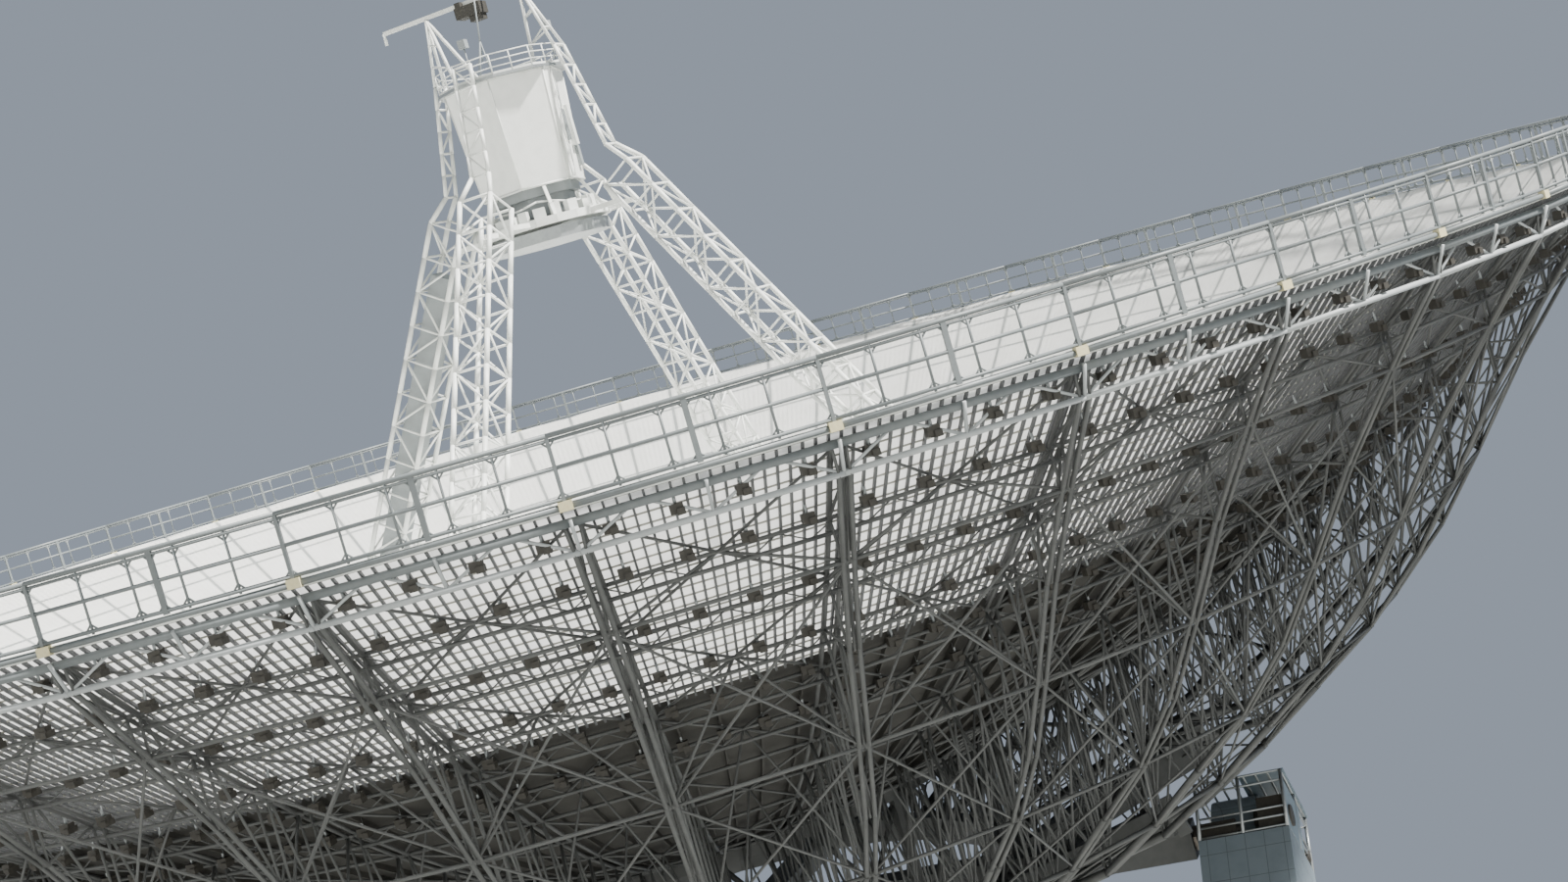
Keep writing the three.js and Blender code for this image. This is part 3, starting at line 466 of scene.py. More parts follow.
@dataclass(frozen=True)
class SheetWalls(Jointed):
    """Walls of upright sheets: dark joints at even steps along and up them, in the model's millimetres."""

    seam: str = "#4A5054"
    step_mm: Pair = (90.0, 140.0)
    seam_mm: float = 1.4

    def base(self, tree: Tree):
        """Joints where X plus Y, or Z, of the Object coordinates comes to a whole number of steps."""
        place = add_node(tree, "ShaderNodeTexCoord").outputs["Object"]
        part = add_node(tree, "ShaderNodeSeparateXYZ", Vector=place)
        along = add_node(tree, "ShaderNodeMath", {"operation": "ADD"}, _0=part.outputs[0], _1=part.outputs[1])
        sockets = (along.outputs[0], part.outputs[2])
        ways = [(way, step / 2 / 1000) for way, step in zip(sockets, self.step_mm)]
        return self.joints(tree, ways, self.seam_mm / 1000)


@dataclass(frozen=True)
class MeshPanel(SeamedPanel):
    """Perforated white sheet: the sky's light comes through it, so its underside glows."""

    light_through: float = 0.58

    def surface(self, tree: Tree, shader: bpy.types.Node) -> Socket:
        """Mixes the painted sheet with light from behind."""
        glow = add_node(tree, "ShaderNodeBsdfTranslucent", Color=linear("#FFFFFF"))
        mix = add_node(tree, "ShaderNodeMixShader", _0=self.light_through, _1=shader.outputs[0],
                       _2=glow.outputs[0])
        return mix.outputs[0]


class Paints:
    """Every finish of the telescope, made once."""

    def __init__(self) -> None:
        """Builds the materials."""
        # White alkyd paint on welded steel tubes: satin, chalked by weather, with grey runs
        self.tube = Finish("white_alkyd_paint", "#DADDDA", "#A9A99F", 0.45).build()
        # The same white paint darkened as painted shade, for the back structure that lies in the dish's shade
        self.back = Finish("painted_shade_alkyd_paint", "#505252", "#373838", 0.55, stain_share=0.5).build()
        # Fence frames: galvanised steel in a dark grey that is painted shade, for a fence seen against the
        # light
        self.fence = Finish("painted_shade_fence_grey", "#6A7072", "#515658", 0.45, stain_mm=25).build()
        # The rim's own tubes, white-painted, darkened to light grey as painted shade for their shaded side
        self.rim = Finish("painted_shade_rim_paint", "#A3A8AA", "#7E8385", 0.45).build()
        # Sheet panels of the inner dish: flat white paint with closed joints
        self.panel = SeamedPanel("flat_white_panel_paint", "#E9EAE6", "#C9CAC2", 0.6).build()
        # Underside of the solid panels in dark grey: painted shade, for the underside that lies in the dish's
        # own shade
        self.under = Finish("painted_shade_underside", "#343330", "#262522", 0.75, stain_share=0.6).build()
        # Perforated panels of the outer dish
        self.mesh = MeshPanel("perforated_white_sheet", "#F2F3F0", "#D6D7D0", 0.6).build()
        # Panel ribs in dark grey: painted shade, for ribs seen against the light
        self.rib = Finish("painted_shade_panel_rib", "#56585A", "#3E4042", 0.55, stain_mm=30).build()
        # Light cross wires of the perforated panels
        self.wire = Finish("galvanised_cross_wire", "#9A9A92", "#7C7C74", 0.5, stain_mm=30).build()
        # Cast housings of the panel adjusters, the drives and the hoist, black and matt
        self.motor = Finish("black_cast_housing", "#2E2C28", "#4E4A40", 0.6, stain_mm=12).build()
        # Galvanised sheet and grating
        self.galvanised = Finish("galvanised_steel", "#9DA2A4", "#7B8083", 0.4, metallic=0.7,
                                 stain_mm=20).build()
        # Machine paint of houses, drives and counterweights
        self.machine = Finish("grey_machine_paint", "#8A9092", "#686D6E", 0.5).build()
        # Upright sheets of the houses in the same paint, with open joints
        self.walls = SheetWalls("machine_room_sheets", "#6A757D", "#555F67", 0.45).build()
        # Cream paint of the rim clamps, yellowed
        self.clamp = Finish("cream_clamp_paint", "#C9C19C", "#A59A70", 0.5, stain_mm=10).build()
        # Blue-grey coil-coated sheet of the head's cover
        self.cover = Finish("coil_coated_sheet", "#6F7F8A", "#55626B", 0.4).build()
        # Rolled rail steel, worn bright on its head
        self.rail = Finish("rolled_rail_steel", "#77726C", "#5A463A", 0.35, metallic=0.9, stain_mm=25).build()
        # Cast concrete: matt, blotched, with fine pores
        self.concrete = Finish("cast_concrete", "#ACA89F", "#8B877E", 0.9, grain_mm=4, relief_mm=1.2).build()
        # White enamel on the cabin's sheet walls
        self.cabin = SeamedPanel("white_enamelled_sheet", "#E4E6E3", "#C3C6C2", 0.4, seam="#B4B8B6",
                                 seam_width=0.012).build()


# Dish


@dataclass
class BackStructure:
    """Ribs, rings and bracing behind the reflector, in real metres."""

    rings: Row = (49.7, 46.9, 44.2, 41.5, 39.2, 36.5, 33.5, 30.4, 27.0, 23.4, 19.4, 15.2)
    truss_rings: int = 5
    low_radius: Row = (15.0, 27.0, 30.0, 34.0, 38.0, 42.0, 45.0, 49.5)
    low_height: Row = (-0.5, 3.6, 5.5, 8.5, 11.5, 16.5, 20.5, 25.25)
    low_rings: tuple[int, ...] = (1, 3, 5, 7, 9, 11)
    seat: float = 0.45
    least_depth: float = 0.5
    chord: float = 0.085
    chord_spread: float = 0.22
    low_chord: float = 0.09
    low_spread: float = 0.17
    web: float = 0.055
    rim_tube: float = 0.14
    ring_tube: float = 0.07
    truss_depth: float = 0.45
    lacing: float = 0.032
    lacing_steps: int = 8
    brace: float = 0.05
    house_clearance: float = 5.4
    house_reach: Pair = (22.0, 30.0)
    light_radius: float = 36.0
    heavy_span: float = 20.0
    heavy_gain: float = 1.8
    girder_ribs: tuple[int, ...] = (1, 18, 21, 38)
    girder_size: Pair = (0.9, 1.5)
    girder_radius: Pair = (14.6, 25.0)
    girder_plate: Pair = (0.2, 1.95)
    girder_plate_share: float = 0.06

    def upper(self, index: Array, radius: Array) -> Array:
        """Rib points just under the panels."""
        return polar(node_angle(index), radius, bowl_height(radius) - self.seat)

    def lower_height(self, index: Array, radius: Array) -> Array:
        """Height of the rib's lower chord, kept above the tower heads near the elevation axis."""
        height = np.interp(radius, self.low_radius, self.low_height)
        near = np.abs(np.sin(node_angle(index))) < math.sin(math.radians(BAY_DEG))
        over = (np.asarray(radius) > self.house_reach[0]) & (np.asarray(radius) < self.house_reach[1])
        height = np.where(near & over, np.maximum(height, self.house_clearance), height)
        return np.minimum(height, bowl_height(radius) - self.seat - self.least_depth)

    def lower(self, index: Array, radius: Array) -> Array:
        """Rib points on the lower chord."""
        height = self.lower_height(index, radius)
        return polar(node_angle(index), np.minimum(radius, self.low_radius[-1]), height)

    def nodes(self, bays: Array, which: list[int] | slice = slice(None)) -> tuple[Array, Array]:
        """Node numbers and radii of every ring in every bay, as two tables."""
        radius = np.array(self.rings)[which][None, :]
        index = bays[:, None] + 0 * radius
        return index, np.broadcast_to(radius, index.shape)

    def weight(self, radius: Array) -> Array:
        """Thickness factor: 1 in the outer dish, growing evenly towards the hub."""
        return 1 + self.heavy_gain * np.clip((self.light_radius - radius) / self.heavy_span, 0, 1)

    def girders(self, bays: Array) -> list[Batch]:
        """Box girders from the hub along the ribs beside the towers, with a node plate at the end."""
        bays = bays[np.isin(bays, self.girder_ribs)]
        if not len(bays):
            return []
        start, end = (self.lower(bays, np.full(len(bays), reach)) for reach in self.girder_radius)
        plate = end + (end - start) * self.girder_plate_share
        return [beams(start, end, *self.girder_size, UP), beams(end, plate, *self.girder_plate, UP)]

    def ribs(self, bays: Array) -> list[Batch]:
        """Trusses with double chords above and below, posts, and crossed diagonals."""
        index, radius = self.nodes(bays)
        top, low = self.upper(index, radius), self.lower(index, radius)
        way = polar(node_angle(index) + np.pi / 2, 1, 0)
        size = self.low_chord * self.weight(radius)[:, 1:]
        work = []
        for sign in (1, -1):
            above, below = top + sign * self.chord_spread * way, low + sign * self.low_spread * way
            work += [
                tubes(above[:, :-1], above[:, 1:], self.chord),
                tubes(below[:, :-1], below[:, 1:], size),
                tubes(above, below, self.web),
            ]
        aside = self.chord_spread * way[:, 1:]
        work.append(tubes(top[:, :-1] + aside, low[:, 1:], self.web))
        work.append(tubes(low[:, :-1], top[:, 1:] - aside, self.web))
        return [*work, *self.girders(bays)]

    def rim(self, bays: Array) -> Batch:
        """The thick tube that ends the ribs under the rim."""
        radius = self.rings[0]
        return tubes(self.upper(bays, radius), self.upper(bays + 1, radius), self.rim_tube, 8)

    def ring_beams(self, bays: Array) -> list[Batch]:
        """Ring beams: laced trusses under the perforated panels, single tubes further in."""
        index, radius = self.nodes(bays, slice(1, None))
        here, there = self.upper(index, radius), self.upper(index + 1, radius)
        first, second = here[:, :self.truss_rings], there[:, :self.truss_rings]
        drop = self.truss_depth * UP
        step = np.arange(self.lacing_steps)
        share = np.stack([step, step + 1])[:, None, None, :, None] / self.lacing_steps
        is_low = ((step + np.arange(2)[:, None]) % 2)[:, None, None, :, None]
        start, end = first[:, :, None] + (second - first)[:, :, None] * share - is_low * drop
        return [
            tubes(here, there, self.ring_tube),
            tubes(first - drop, second - drop, self.ring_tube),
            tubes(start, end, self.lacing, 4),
        ]

    def diamonds(self, bays: Array) -> list[Batch]:
        """Bracing in each bay: from the rib nodes of one ring to the middle of the next."""
        index, radius = self.nodes(bays)
        here, there = self.upper(index, radius), self.upper(index + 1, radius)
        middle = (here + there) / 2
        pairs = ((slice(0, -1, 2), slice(1, None, 2)), (slice(2, None, 2), slice(1, -1, 2)))
        return [tubes(end[:, a], middle[:, b], self.brace) for end in (here, there) for a, b in pairs]

    def low_work(self, bays: Array) -> list[Batch]:
        """Ring tubes and crossed braces between the lower chords, and slopes up to the panels."""
        index, radius = self.nodes(bays, list(self.low_rings))
        here, there = self.lower(index, radius), self.lower(index + 1, radius)
        top = (self.upper(index, radius) + self.upper(index + 1, radius)) / 2
        pairs = ((here[:, :-1], there[:, 1:]), (there[:, :-1], here[:, 1:]), (here, top), (there, top))
        rings = tubes(here, there, self.ring_tube * self.weight(radius))
        return [rings, *(tubes(start, end, self.brace) for start, end in pairs)]

    def build(self, paints: Paints) -> None:
        """Makes one lattice for each quarter."""
        for _, name, bays in quarters():
            rings = joined([*self.ring_beams(bays), *self.diamonds(bays), *self.low_work(bays)])
            # Ribs and rings take the white paint darkened as painted shade
            layers = [(joined(self.ribs(bays)), paints.back), (rings, paints.back),
                      # The rim tube takes the fence's dark grey painted shade
                      (self.rim(bays), paints.fence)]
            make_piece(f"lattice_{name}", layers, Body.DISH, replaces=(f"back_structure_{name}",))


@dataclass
class Reflector:
    """The paraboloid's skin and the ribs of its panels, in real metres."""

    hub_edge: float = 14.9
    solid_edge: float = 39.4
    edge: float = 49.86
    thickness: float = 0.08
    columns_per_bay: int = 4
    solid_rows: int = 20
    mesh_rows: int = 6
    panels_per_bay: int = 2
    panel_length: float = 2.4
    skirt: float = 0.24
    spokes_per_bay: int = 20
    spoke_stations: int = 6
    spoke_end: float = 0.1
    spoke_size: Pair = (0.07, 0.13)
    hoops: int = 24
    hoop_steps_per_bay: int = 3
    hoop_margins: Pair = (0.2, 0.15)
    hoop_size: Pair = (0.022, 0.06)
    stiffeners_per_bay: int = 4
    stiffener_stations: int = 9
    stiffener_start: float = 8.0
    stiffener_size: Pair = (0.08, 0.24)

    def skin(self, quarter: int, first: float, last: float, rows: int, upward: bool) -> Batch:
        """One side of the skin over a quarter.

        Each point is r (cos t, sin t) at the paraboloid's height, less the thickness on the underside,
        over a grid of t and r. The UV map counts panels round and outward.
        """
        share = np.linspace(0, 1, BAYS_PER_QUARTER * self.columns_per_bay + 1)[:, None]
        radius = np.linspace(first, last, rows + 1)[None, :]
        height = bowl_height(radius) - (0 if upward else self.thickness)
        grid = polar(np.pi / 2 * (quarter + share), radius, height)
        panels_round = share * BAYS_PER_QUARTER * self.panels_per_bay
        uv = np.stack(np.broadcast_arrays(panels_round, radius / self.panel_length), axis=-1)
        if not upward:
            grid, uv = grid[::-1], uv[::-1]
        return sheet(grid[:, ::-1], uv[:, ::-1])

    def rim_edge(self, quarter: int) -> Batch:
        """The narrow outer wall that closes the skin's edge."""
        share = np.linspace(0, 1, BAYS_PER_QUARTER * self.columns_per_bay + 1)[:, None]
        height = bowl_height(self.edge) - self.skirt * np.array([[1.0, 0.0]])
        return sheet(polar(np.pi / 2 * (quarter + share), self.edge, height))

    def blades(self, angle: Array, radius: Array, size: Pair) -> Batch:
        """Upright strips under the skin along each row of a table of angles and radii."""
        points = polar(angle, radius, bowl_height(radius) - self.thickness - size[1] / 2)
        return beams(points[:, :-1], points[:, 1:], *size, UP)

    def radial_blades(self, quarter: int, per_bay: int, radius: Array, size: Pair) -> Batch:
        """Even rows of strips that run outward over a quarter."""
        lines = BAYS_PER_QUARTER * per_bay
        angle = np.pi / 2 * (quarter + (np.arange(lines) + 0.5) / lines)
        return self.blades(angle[:, None], radius[None, :], size)

    def hoop_blades(self, quarter: int) -> Batch:
        """Light cross wires round the dish under the perforated panels."""
        share = np.linspace(0, 1, BAYS_PER_QUARTER * self.hoop_steps_per_bay + 1)
        near, far = self.hoop_margins
        radius = np.linspace(self.solid_edge + near, self.edge - far, self.hoops)
        return self.blades(np.pi / 2 * (quarter + share)[None, :], radius[:, None], self.hoop_size)

    def build(self, paints: Paints) -> None:
        """Makes the skin, its stiffeners and the perforated outer zone of each quarter."""
        solid = (self.hub_edge, self.solid_edge, self.solid_rows)
        mesh = (self.solid_edge, self.edge, self.mesh_rows)
        spoke_radius = np.linspace(self.solid_edge, self.edge - self.spoke_end, self.spoke_stations)
        stiffener_radius = np.linspace(self.stiffener_start, self.solid_edge, self.stiffener_stations)
        for quarter, name, _ in quarters():
            layers = [
                (self.skin(quarter, *solid, True), paints.panel),
                # The solid skin's underside takes the dark painted shade
                (self.skin(quarter, *solid, False), paints.under),
                (self.skin(quarter, *mesh, True), paints.mesh),
                (self.skin(quarter, *mesh, False), paints.mesh),
                (self.rim_edge(quarter), paints.tube),
            ]
            make_piece(f"skin_{name}", layers, Body.DISH, replaces=(f"reflector_{name}",))
            # Spokes under the perforated panels take the ribs' dark painted shade
            spokes = self.radial_blades(quarter, self.spokes_per_bay, spoke_radius, self.spoke_size)
            deep = self.radial_blades(quarter, self.stiffeners_per_bay, stiffener_radius, self.stiffener_size)
            # The deep stiffeners take the underside's dark painted shade
            ribs = [(spokes, paints.rib), (self.hoop_blades(quarter), paints.wire), (deep, paints.under)]
            make_piece(f"panel_ribs_{name}", ribs, Body.DISH)


@dataclass
class Adjusters:
    """Dark actuators between the ring beams and the panels, in rows of four to a bay."""

    radii: Row = (49.3, 47.4, 44.7, 42.0, 39.7, 37.0)
    per_bay: int = 4
    motor: Triple = (0.16, 0.2, 0.15)
    gearbox: Triple = (0.23, 0.12, 0.1)
    gearbox_shift: float = 0.1
    drop: float = 0.6
    pin: float = 0.05
    pin_gap: float = 0.1

    def build(self, paints: Paints) -> None:
        """Makes all the actuators as one piece, each turned to face along its radius."""
        slots = np.arange(BAYS * self.per_bay)
        angle, radius = np.meshgrid(node_angle((slots + 0.5) / self.per_bay), self.radii)
        angle, radius = angle.ravel(), radius.ravel()
        centre = polar(angle, radius, bowl_height(radius) - self.drop)
        axes = level_axes(angle)
        side = centre + self.gearbox_shift * (axes[:, 1] - UP)
        work = joined([boxes(centre, axes, self.motor), boxes(side, axes, self.gearbox)])
        pins = tubes(centre, centre + (self.drop - self.pin_gap) * UP, self.pin)
        make_piece("adjusters", [(work, paints.motor), (pins, paints.galvanised)], Body.DISH)


@dataclass
class RimFence:
    """Guard fence and rim tubes round the dish, in real metres. Places along the rim are counted in bays."""

    radius: float = 50.0
    base_drop: float = 0.1
    bay_end: float = 0.9999
    bay_length: float = 7.85
    height: float = 1.9
    post: float = 0.11
    thick_post: float = 0.17
    light_post: float = 0.045
    light_posts: Row = (0.205, 0.405, 0.595, 0.795)
    rail_rows: tuple[Pair, ...] = (
        (1.9, 0.075), (1.76, 0.05), (0.988, 0.06), (0.1, 0.06), (-0.12, 0.09),
    )
    gusset_reach: float = 0.2
    gusset: float = 0.035
    gusset_rows: tuple[tuple[float, int], ...] = ((1.76, -1), (0.1, 1))
    low_ring_radius: float = 49.5
    low_ring_height: float = 25.25
    low_ring_tube: float = 0.1
    brace: float = 0.05
    brace_reach: float = 0.25
    brace_radius: float = 49.6
    brace_drop: float = 0.5
    stay: float = 0.06
    clamp: Triple = (0.12, 0.2, 0.14)

    def at(self, place: Array, up: Array | float, radius: float | None = None) -> Array:
        """Point on the straight line between rib nodes, at a height above the rim."""
        place = np.asarray(place, float)
        whole = np.floor(place)
        radius = self.radius if radius is None else radius
        level = bowl_height(self.radius) - self.base_drop + up
        first, second = (polar(node_angle(whole + i), radius, level) for i in (0, 1))
        return first + (second - first) * (place - whole)[..., None]

    def uprights(self, bays: Array) -> list[Batch]:
        """Node posts, heavy mid-bay posts and light posts, each square to the rim."""
        work = []
        for place, width in ((bays, self.post), (bays + 0.5, self.thick_post)):
            out = polar(node_angle(place), 1, 0)
            work.append(beams(self.at(place, 0), self.at(place, self.height), width, self.post, out))
        light = np.add.outer(bays, self.light_posts).ravel()
        return [*work, tubes(self.at(light, 0), self.at(light, self.height), self.light_post)]

    def rails(self, bays: Array) -> list[Batch]:
        """Top rail pair, mid rail and two toe rails."""
        end = bays + self.bay_end
        return [tubes(self.at(bays, up), self.at(end, up), size) for up, size in self.rail_rows]

    def gussets(self, bays: Array) -> Batch:
        """Short slanted pieces that round the corners of the fence's windows."""
        share = self.gusset_reach / self.bay_length
        start, end = [], []
        for post in sorted((0.0, 0.5, self.bay_end, *self.light_posts)):
            for side in (-1, 1):
                if not 0 <= post + side * share <= self.bay_end:
                    continue
                for level, sign in self.gusset_rows:
                    start.append(self.at(bays + post, level + sign * self.gusset_reach))
                    end.append(self.at(bays + post + side * share, level))
        return tubes(np.concatenate(start), np.concatenate(end), self.gusset, 4)

    def lower_ring(self, bays: Array) -> list[Batch]:
        """The bright tube below the rim and its V braces."""
        low = self.low_ring_height - bowl_height(self.radius) + self.base_drop
        ends = (self.at(bays + share, low, self.low_ring_radius) for share in (0, self.bay_end))
        knots = np.concatenate([bays, bays + 0.5])
        foot = self.at(knots, low, self.low_ring_radius)
        work = [tubes(*ends, self.low_ring_tube, 8), tubes(foot, self.at(knots, -self.brace_drop), self.stay)]
        for reach in (-self.brace_reach, self.brace_reach):
            head = self.at(knots + reach, -self.brace_drop, self.brace_radius)
            work.append(tubes(foot, head, self.brace))
        return work

    def clamps(self, bays: Array) -> Batch:
        """Cream clamp blocks at the rib nodes."""
        return boxes(self.at(bays, -self.base_drop), level_axes(node_angle(bays)), self.clamp)

    def build(self, paints: Paints) -> None:
        """Makes the fence and the rim tubes of each quarter."""
        for _, name, bays in quarters():
            work = joined([*self.uprights(bays), *self.rails(bays), self.gussets(bays)])
            # The fence frames take their dark grey painted shade
            layers = [(work, paints.fence), (self.clamps(bays), paints.clamp)]
            make_piece(f"guard_fence_{name}", layers, Body.DISH, replaces=(f"rim_fence_{name}",))
            ring = joined(self.lower_ring(bays))
            # The lower ring and its braces take the light grey painted shade
            make_piece(f"rim_tube_{name}", [(ring, paints.rim)], Body.DISH)


@dataclass
class CabinLegs:
    """Four square lattice masts with a ladder on top of each, in real metres."""

    foot: Pair = (22.5, 10.25)
    head: Pair = (5.2, 39.0)
    ladder_foot: Pair = (4.89, 40.5)
    ladder_head: Pair = (3.65, 46.0)
    side: float = 1.8
    ladder_half: float = 0.5
    chord: float = 0.13
    ladder_chord: float = 0.1
    brace: float = 0.06
    bays: int = 18
    rungs: int = 6
    names: tuple[str, ...] = ("right", "upper", "left", "lower")

    def corners(self, angle: float) -> Array:
        """Corner points of every station: the centre line plus or minus half a side, out and sideways."""
        foot, head = np.array(self.foot), np.array(self.head)
        line = foot + (head - foot) * np.linspace(0, 1, self.bays + 1)[:, None]
        run = self.side / 2 * (head - foot) / np.linalg.norm(head - foot)
        way = polar(angle + np.pi / 2, self.side / 2, 0)
        signs = ((1, 1), (1, -1), (-1, -1), (-1, 1))
        rows = [polar(angle, line[:, 0] + out * run[1], line[:, 1] - out * run[0]) + side * way
                for out, side in signs]
        return np.stack(rows, axis=1)

    def mast(self, corner: Array) -> list[Batch]:
        """Four chords, square frames, and a zigzag on each face."""
        following = np.roll(corner, -1, axis=1)
        return [
            tubes(corner[:-1], corner[1:], self.chord, 8),
            tubes(corner, following, self.brace),
            tubes(*zigzag(corner, following, np.arange(4)[:, None]), self.brace),
        ]

    def ladder(self, angle: float, start: Array) -> list[Batch]:
        """Two chords that go on from the mast's outer corners, with rungs and a zigzag."""
        foot, head = np.array(self.ladder_foot), np.array(self.ladder_head)
        line = foot + (head - foot) * np.linspace(0, 1, self.rungs)[:, None]
        half = polar(angle + np.pi / 2, self.ladder_half, 0)
        rails = polar(angle, line[:, :1], line[:, 1:]) + np.stack([half, -half])
        return [
            tubes(start, rails[0], self.chord),
            tubes(rails[:-1], rails[1:], self.ladder_chord, 8),
            tubes(rails[:, 0], rails[:, 1], self.brace),
            tubes(*zigzag(rails[:, 0], rails[:, 1]), self.brace),
        ]

    def build(self, paints: Paints) -> None:
        """Makes the four masts."""
        for i, name in enumerate(self.names):
            angle = math.radians(LEG_DEG + 90 * i)
            corner = self.corners(angle)
            work = joined([*self.mast(corner), *self.ladder(angle, corner[-1, :2])])
            make_piece(f"leg_lattice_{name}", [(work, paints.tube)], Body.DISH,
                       replaces=(f"cabin_leg_{name}",))


@dataclass
class FocusCabin:
    """The cabin's walls with what stands on them, and the receiver housing below, in real metres."""

    corner_degs: Row = (221, 281, 335, 345, 401, 461, 521)
    bottom: float = 39.45
    height: float = 5.64
    bottom_radius: float = 2.75
    top_radius: float = 3.18
    belt: float = 0.06
    corner_strip: float = 0.04
    # Wall number, shift along it, shares of its height from and to, half width, and how far it stands out
    louvres: tuple[Row, ...] = (
        (3, -0.75, 0.34, 0.62, 0.28, 0.06),
        (3, 0.75, 0.12, 0.3, 0.3, 0.12),
        (5, 0.0, 0.05, 0.45, 0.45, 0.05),
    )
    cabinets: tuple[Row, ...] = (
        (3, 0.1, 0.3, 0.66, 0.34, 0.16),
        (2, 0.0, 0.02, 0.96, 0.1, 0.04),
        (4, -0.4, 0.3, 0.5, 0.4, 0.12),
    )
    # Radius, and heights of top and bottom from the cabin's floor
    housing: tuple[Triple, ...] = ((2.4, -0.02, -0.5), (2.05, -0.5, -1.45))
    housing_hole: float = 0.1
    frame_top: float = 37.82
    boxes_round: int = 22
    box_jitter: float = 0.2
    least_box: Triple = (0.12, 0.12, 0.12)
    most_box: Triple = (0.42, 0.3, 0.38)
    box_radius: Pair = (2.5, 2.95)
    pipe: float = 0.05
    pipe_radius: float = 2.6
    pipe_height: Pair = (0.3, 0.9)

    def corner(self, share: float) -> Array:
        """Corners of the walls at a share of their height."""
        radius = self.bottom_radius + (self.top_radius - self.bottom_radius) * share
        return polar(np.radians(self.corner_degs), radius, self.bottom + self.height * share)

    def walls(self) -> Batch:
        """Flat wall sheets, and the floor and roof."""
        foot, head = self.corner(0), self.corner(1)
        grid = np.stack([foot, head], axis=1)
        grid = np.concatenate([grid, grid[:1]])
        uv = np.array([[(wall, height) for height in (0.0, 1.0)] for wall in range(len(grid))])
        batches = [sheet(grid, uv, smooth=False)]
        for ring, middle in ((foot[::-1], self.bottom), (head, self.bottom + self.height)):
            lid = np.stack([ring, np.broadcast_to(middle * UP, ring.shape)], axis=1)
            batches.append(sheet(lid, closed=True, smooth=False))
        return joined(batches)

    def trims(self) -> Batch:
        """Corner strips and two belts round the walls."""
        foot, head = self.corner(0), self.corner(1)
        return joined([tubes(foot, head, self.corner_strip), loop(foot, self.belt), loop(head, self.belt)])

    def wall_boxes(self, rows: tuple[Row, ...]) -> Batch:
        """Boxes that stand on the walls."""
        work = []
        for wall, aside, low, high, half_width, proud in rows:
            ring = self.corner((low + high) / 2)
            here, there = ring[wall], ring[(wall + 1) % len(ring)]
            way = (there - here) / np.linalg.norm(there - here)
            out = np.cross(way, UP)
            centre = (here + there) / 2 + aside * way + out * proud / 2
            half = (half_width, proud, self.height * (high - low) / 2)
            work.append(boxes(centre, np.stack([way, out, UP]), half))
        return joined(work)

    def steps(self) -> Batch:
        """Receiver housing under the floor: two steps, each smaller than the one above."""
        work = []
        for radius, top, low in self.housing:
            profile = ((self.housing_hole, low), (radius, low), (radius, top))
            rings = [polar(np.radians(self.corner_degs), r, self.bottom + z) for r, z in profile]
            work.append(sheet(np.stack(rings, axis=1), closed=True, smooth=False))
        return joined(work)

    def service_ring(self) -> Batch:
        """Boxes and pipes that stand on the mirror frame, of seeded sizes."""
        rng = np.random.default_rng(SEED)
        count, jitter = self.boxes_round, self.box_jitter
        angle = 2 * np.pi * (np.arange(count) + rng.uniform(-jitter, jitter, count)) / count
        axes = level_axes(angle)
        half = rng.uniform(self.least_box, self.most_box, (count, 3))
        centre = axes[:, 0] * rng.uniform(*self.box_radius, (count, 1))
        centre[:, 2] = self.frame_top + half[:, 2]
        pipe = polar(angle, self.pipe_radius, self.frame_top + rng.uniform(*self.pipe_height, count))
        return joined([boxes(centre, axes, half[:, [1, 0, 2]]), loop(pipe, self.pipe)])

    def build(self, paints: Paints) -> None:
        """Makes the cabin and the housing."""
        layers = [(self.walls(), paints.cabin), (self.trims(), paints.tube),
                  (self.wall_boxes(self.louvres), paints.machine),
                  (self.wall_boxes(self.cabinets), paints.tube)]
        make_piece("cabin_walls", layers, Body.DISH, replaces=("focus_cabin",))
        below = [(self.steps(), paints.machine), (self.service_ring(), paints.tube)]
        make_piece("receiver_housing", below, Body.DISH)


@dataclass
class DeckRails:
    """Railing round the cabin's deck, in real metres."""

    sides: int = 10
    radius: float = 3.32
    levels: Row = (0.35, 0.68, 1.0)
    rail: float = 0.03
    post: float = 0.035
    toe_board: Pair = (0.02, 0.12)

    def build(self, paints: Paints) -> None:
        """Makes posts at the corners and mid-sides, three rails and a toe board."""
        corner = polar(2 * np.pi * np.arange(self.sides) / self.sides, self.radius, DECK_TOP)
        following = np.roll(corner, -1, axis=0)
        posts = np.concatenate([corner, (corner + following) / 2])
        lift = self.toe_board[1] / 2 * UP
        work = joined([
            tubes(posts, posts + self.levels[-1] * UP, self.post),
            *(loop(corner + level * UP, self.rail) for level in self.levels),
            beams(corner + lift, following + lift, *self.toe_board, UP),
        ])
        make_piece("deck_rails", [(work, paints.tube)], Body.DISH, replaces=("cabin_railing",))


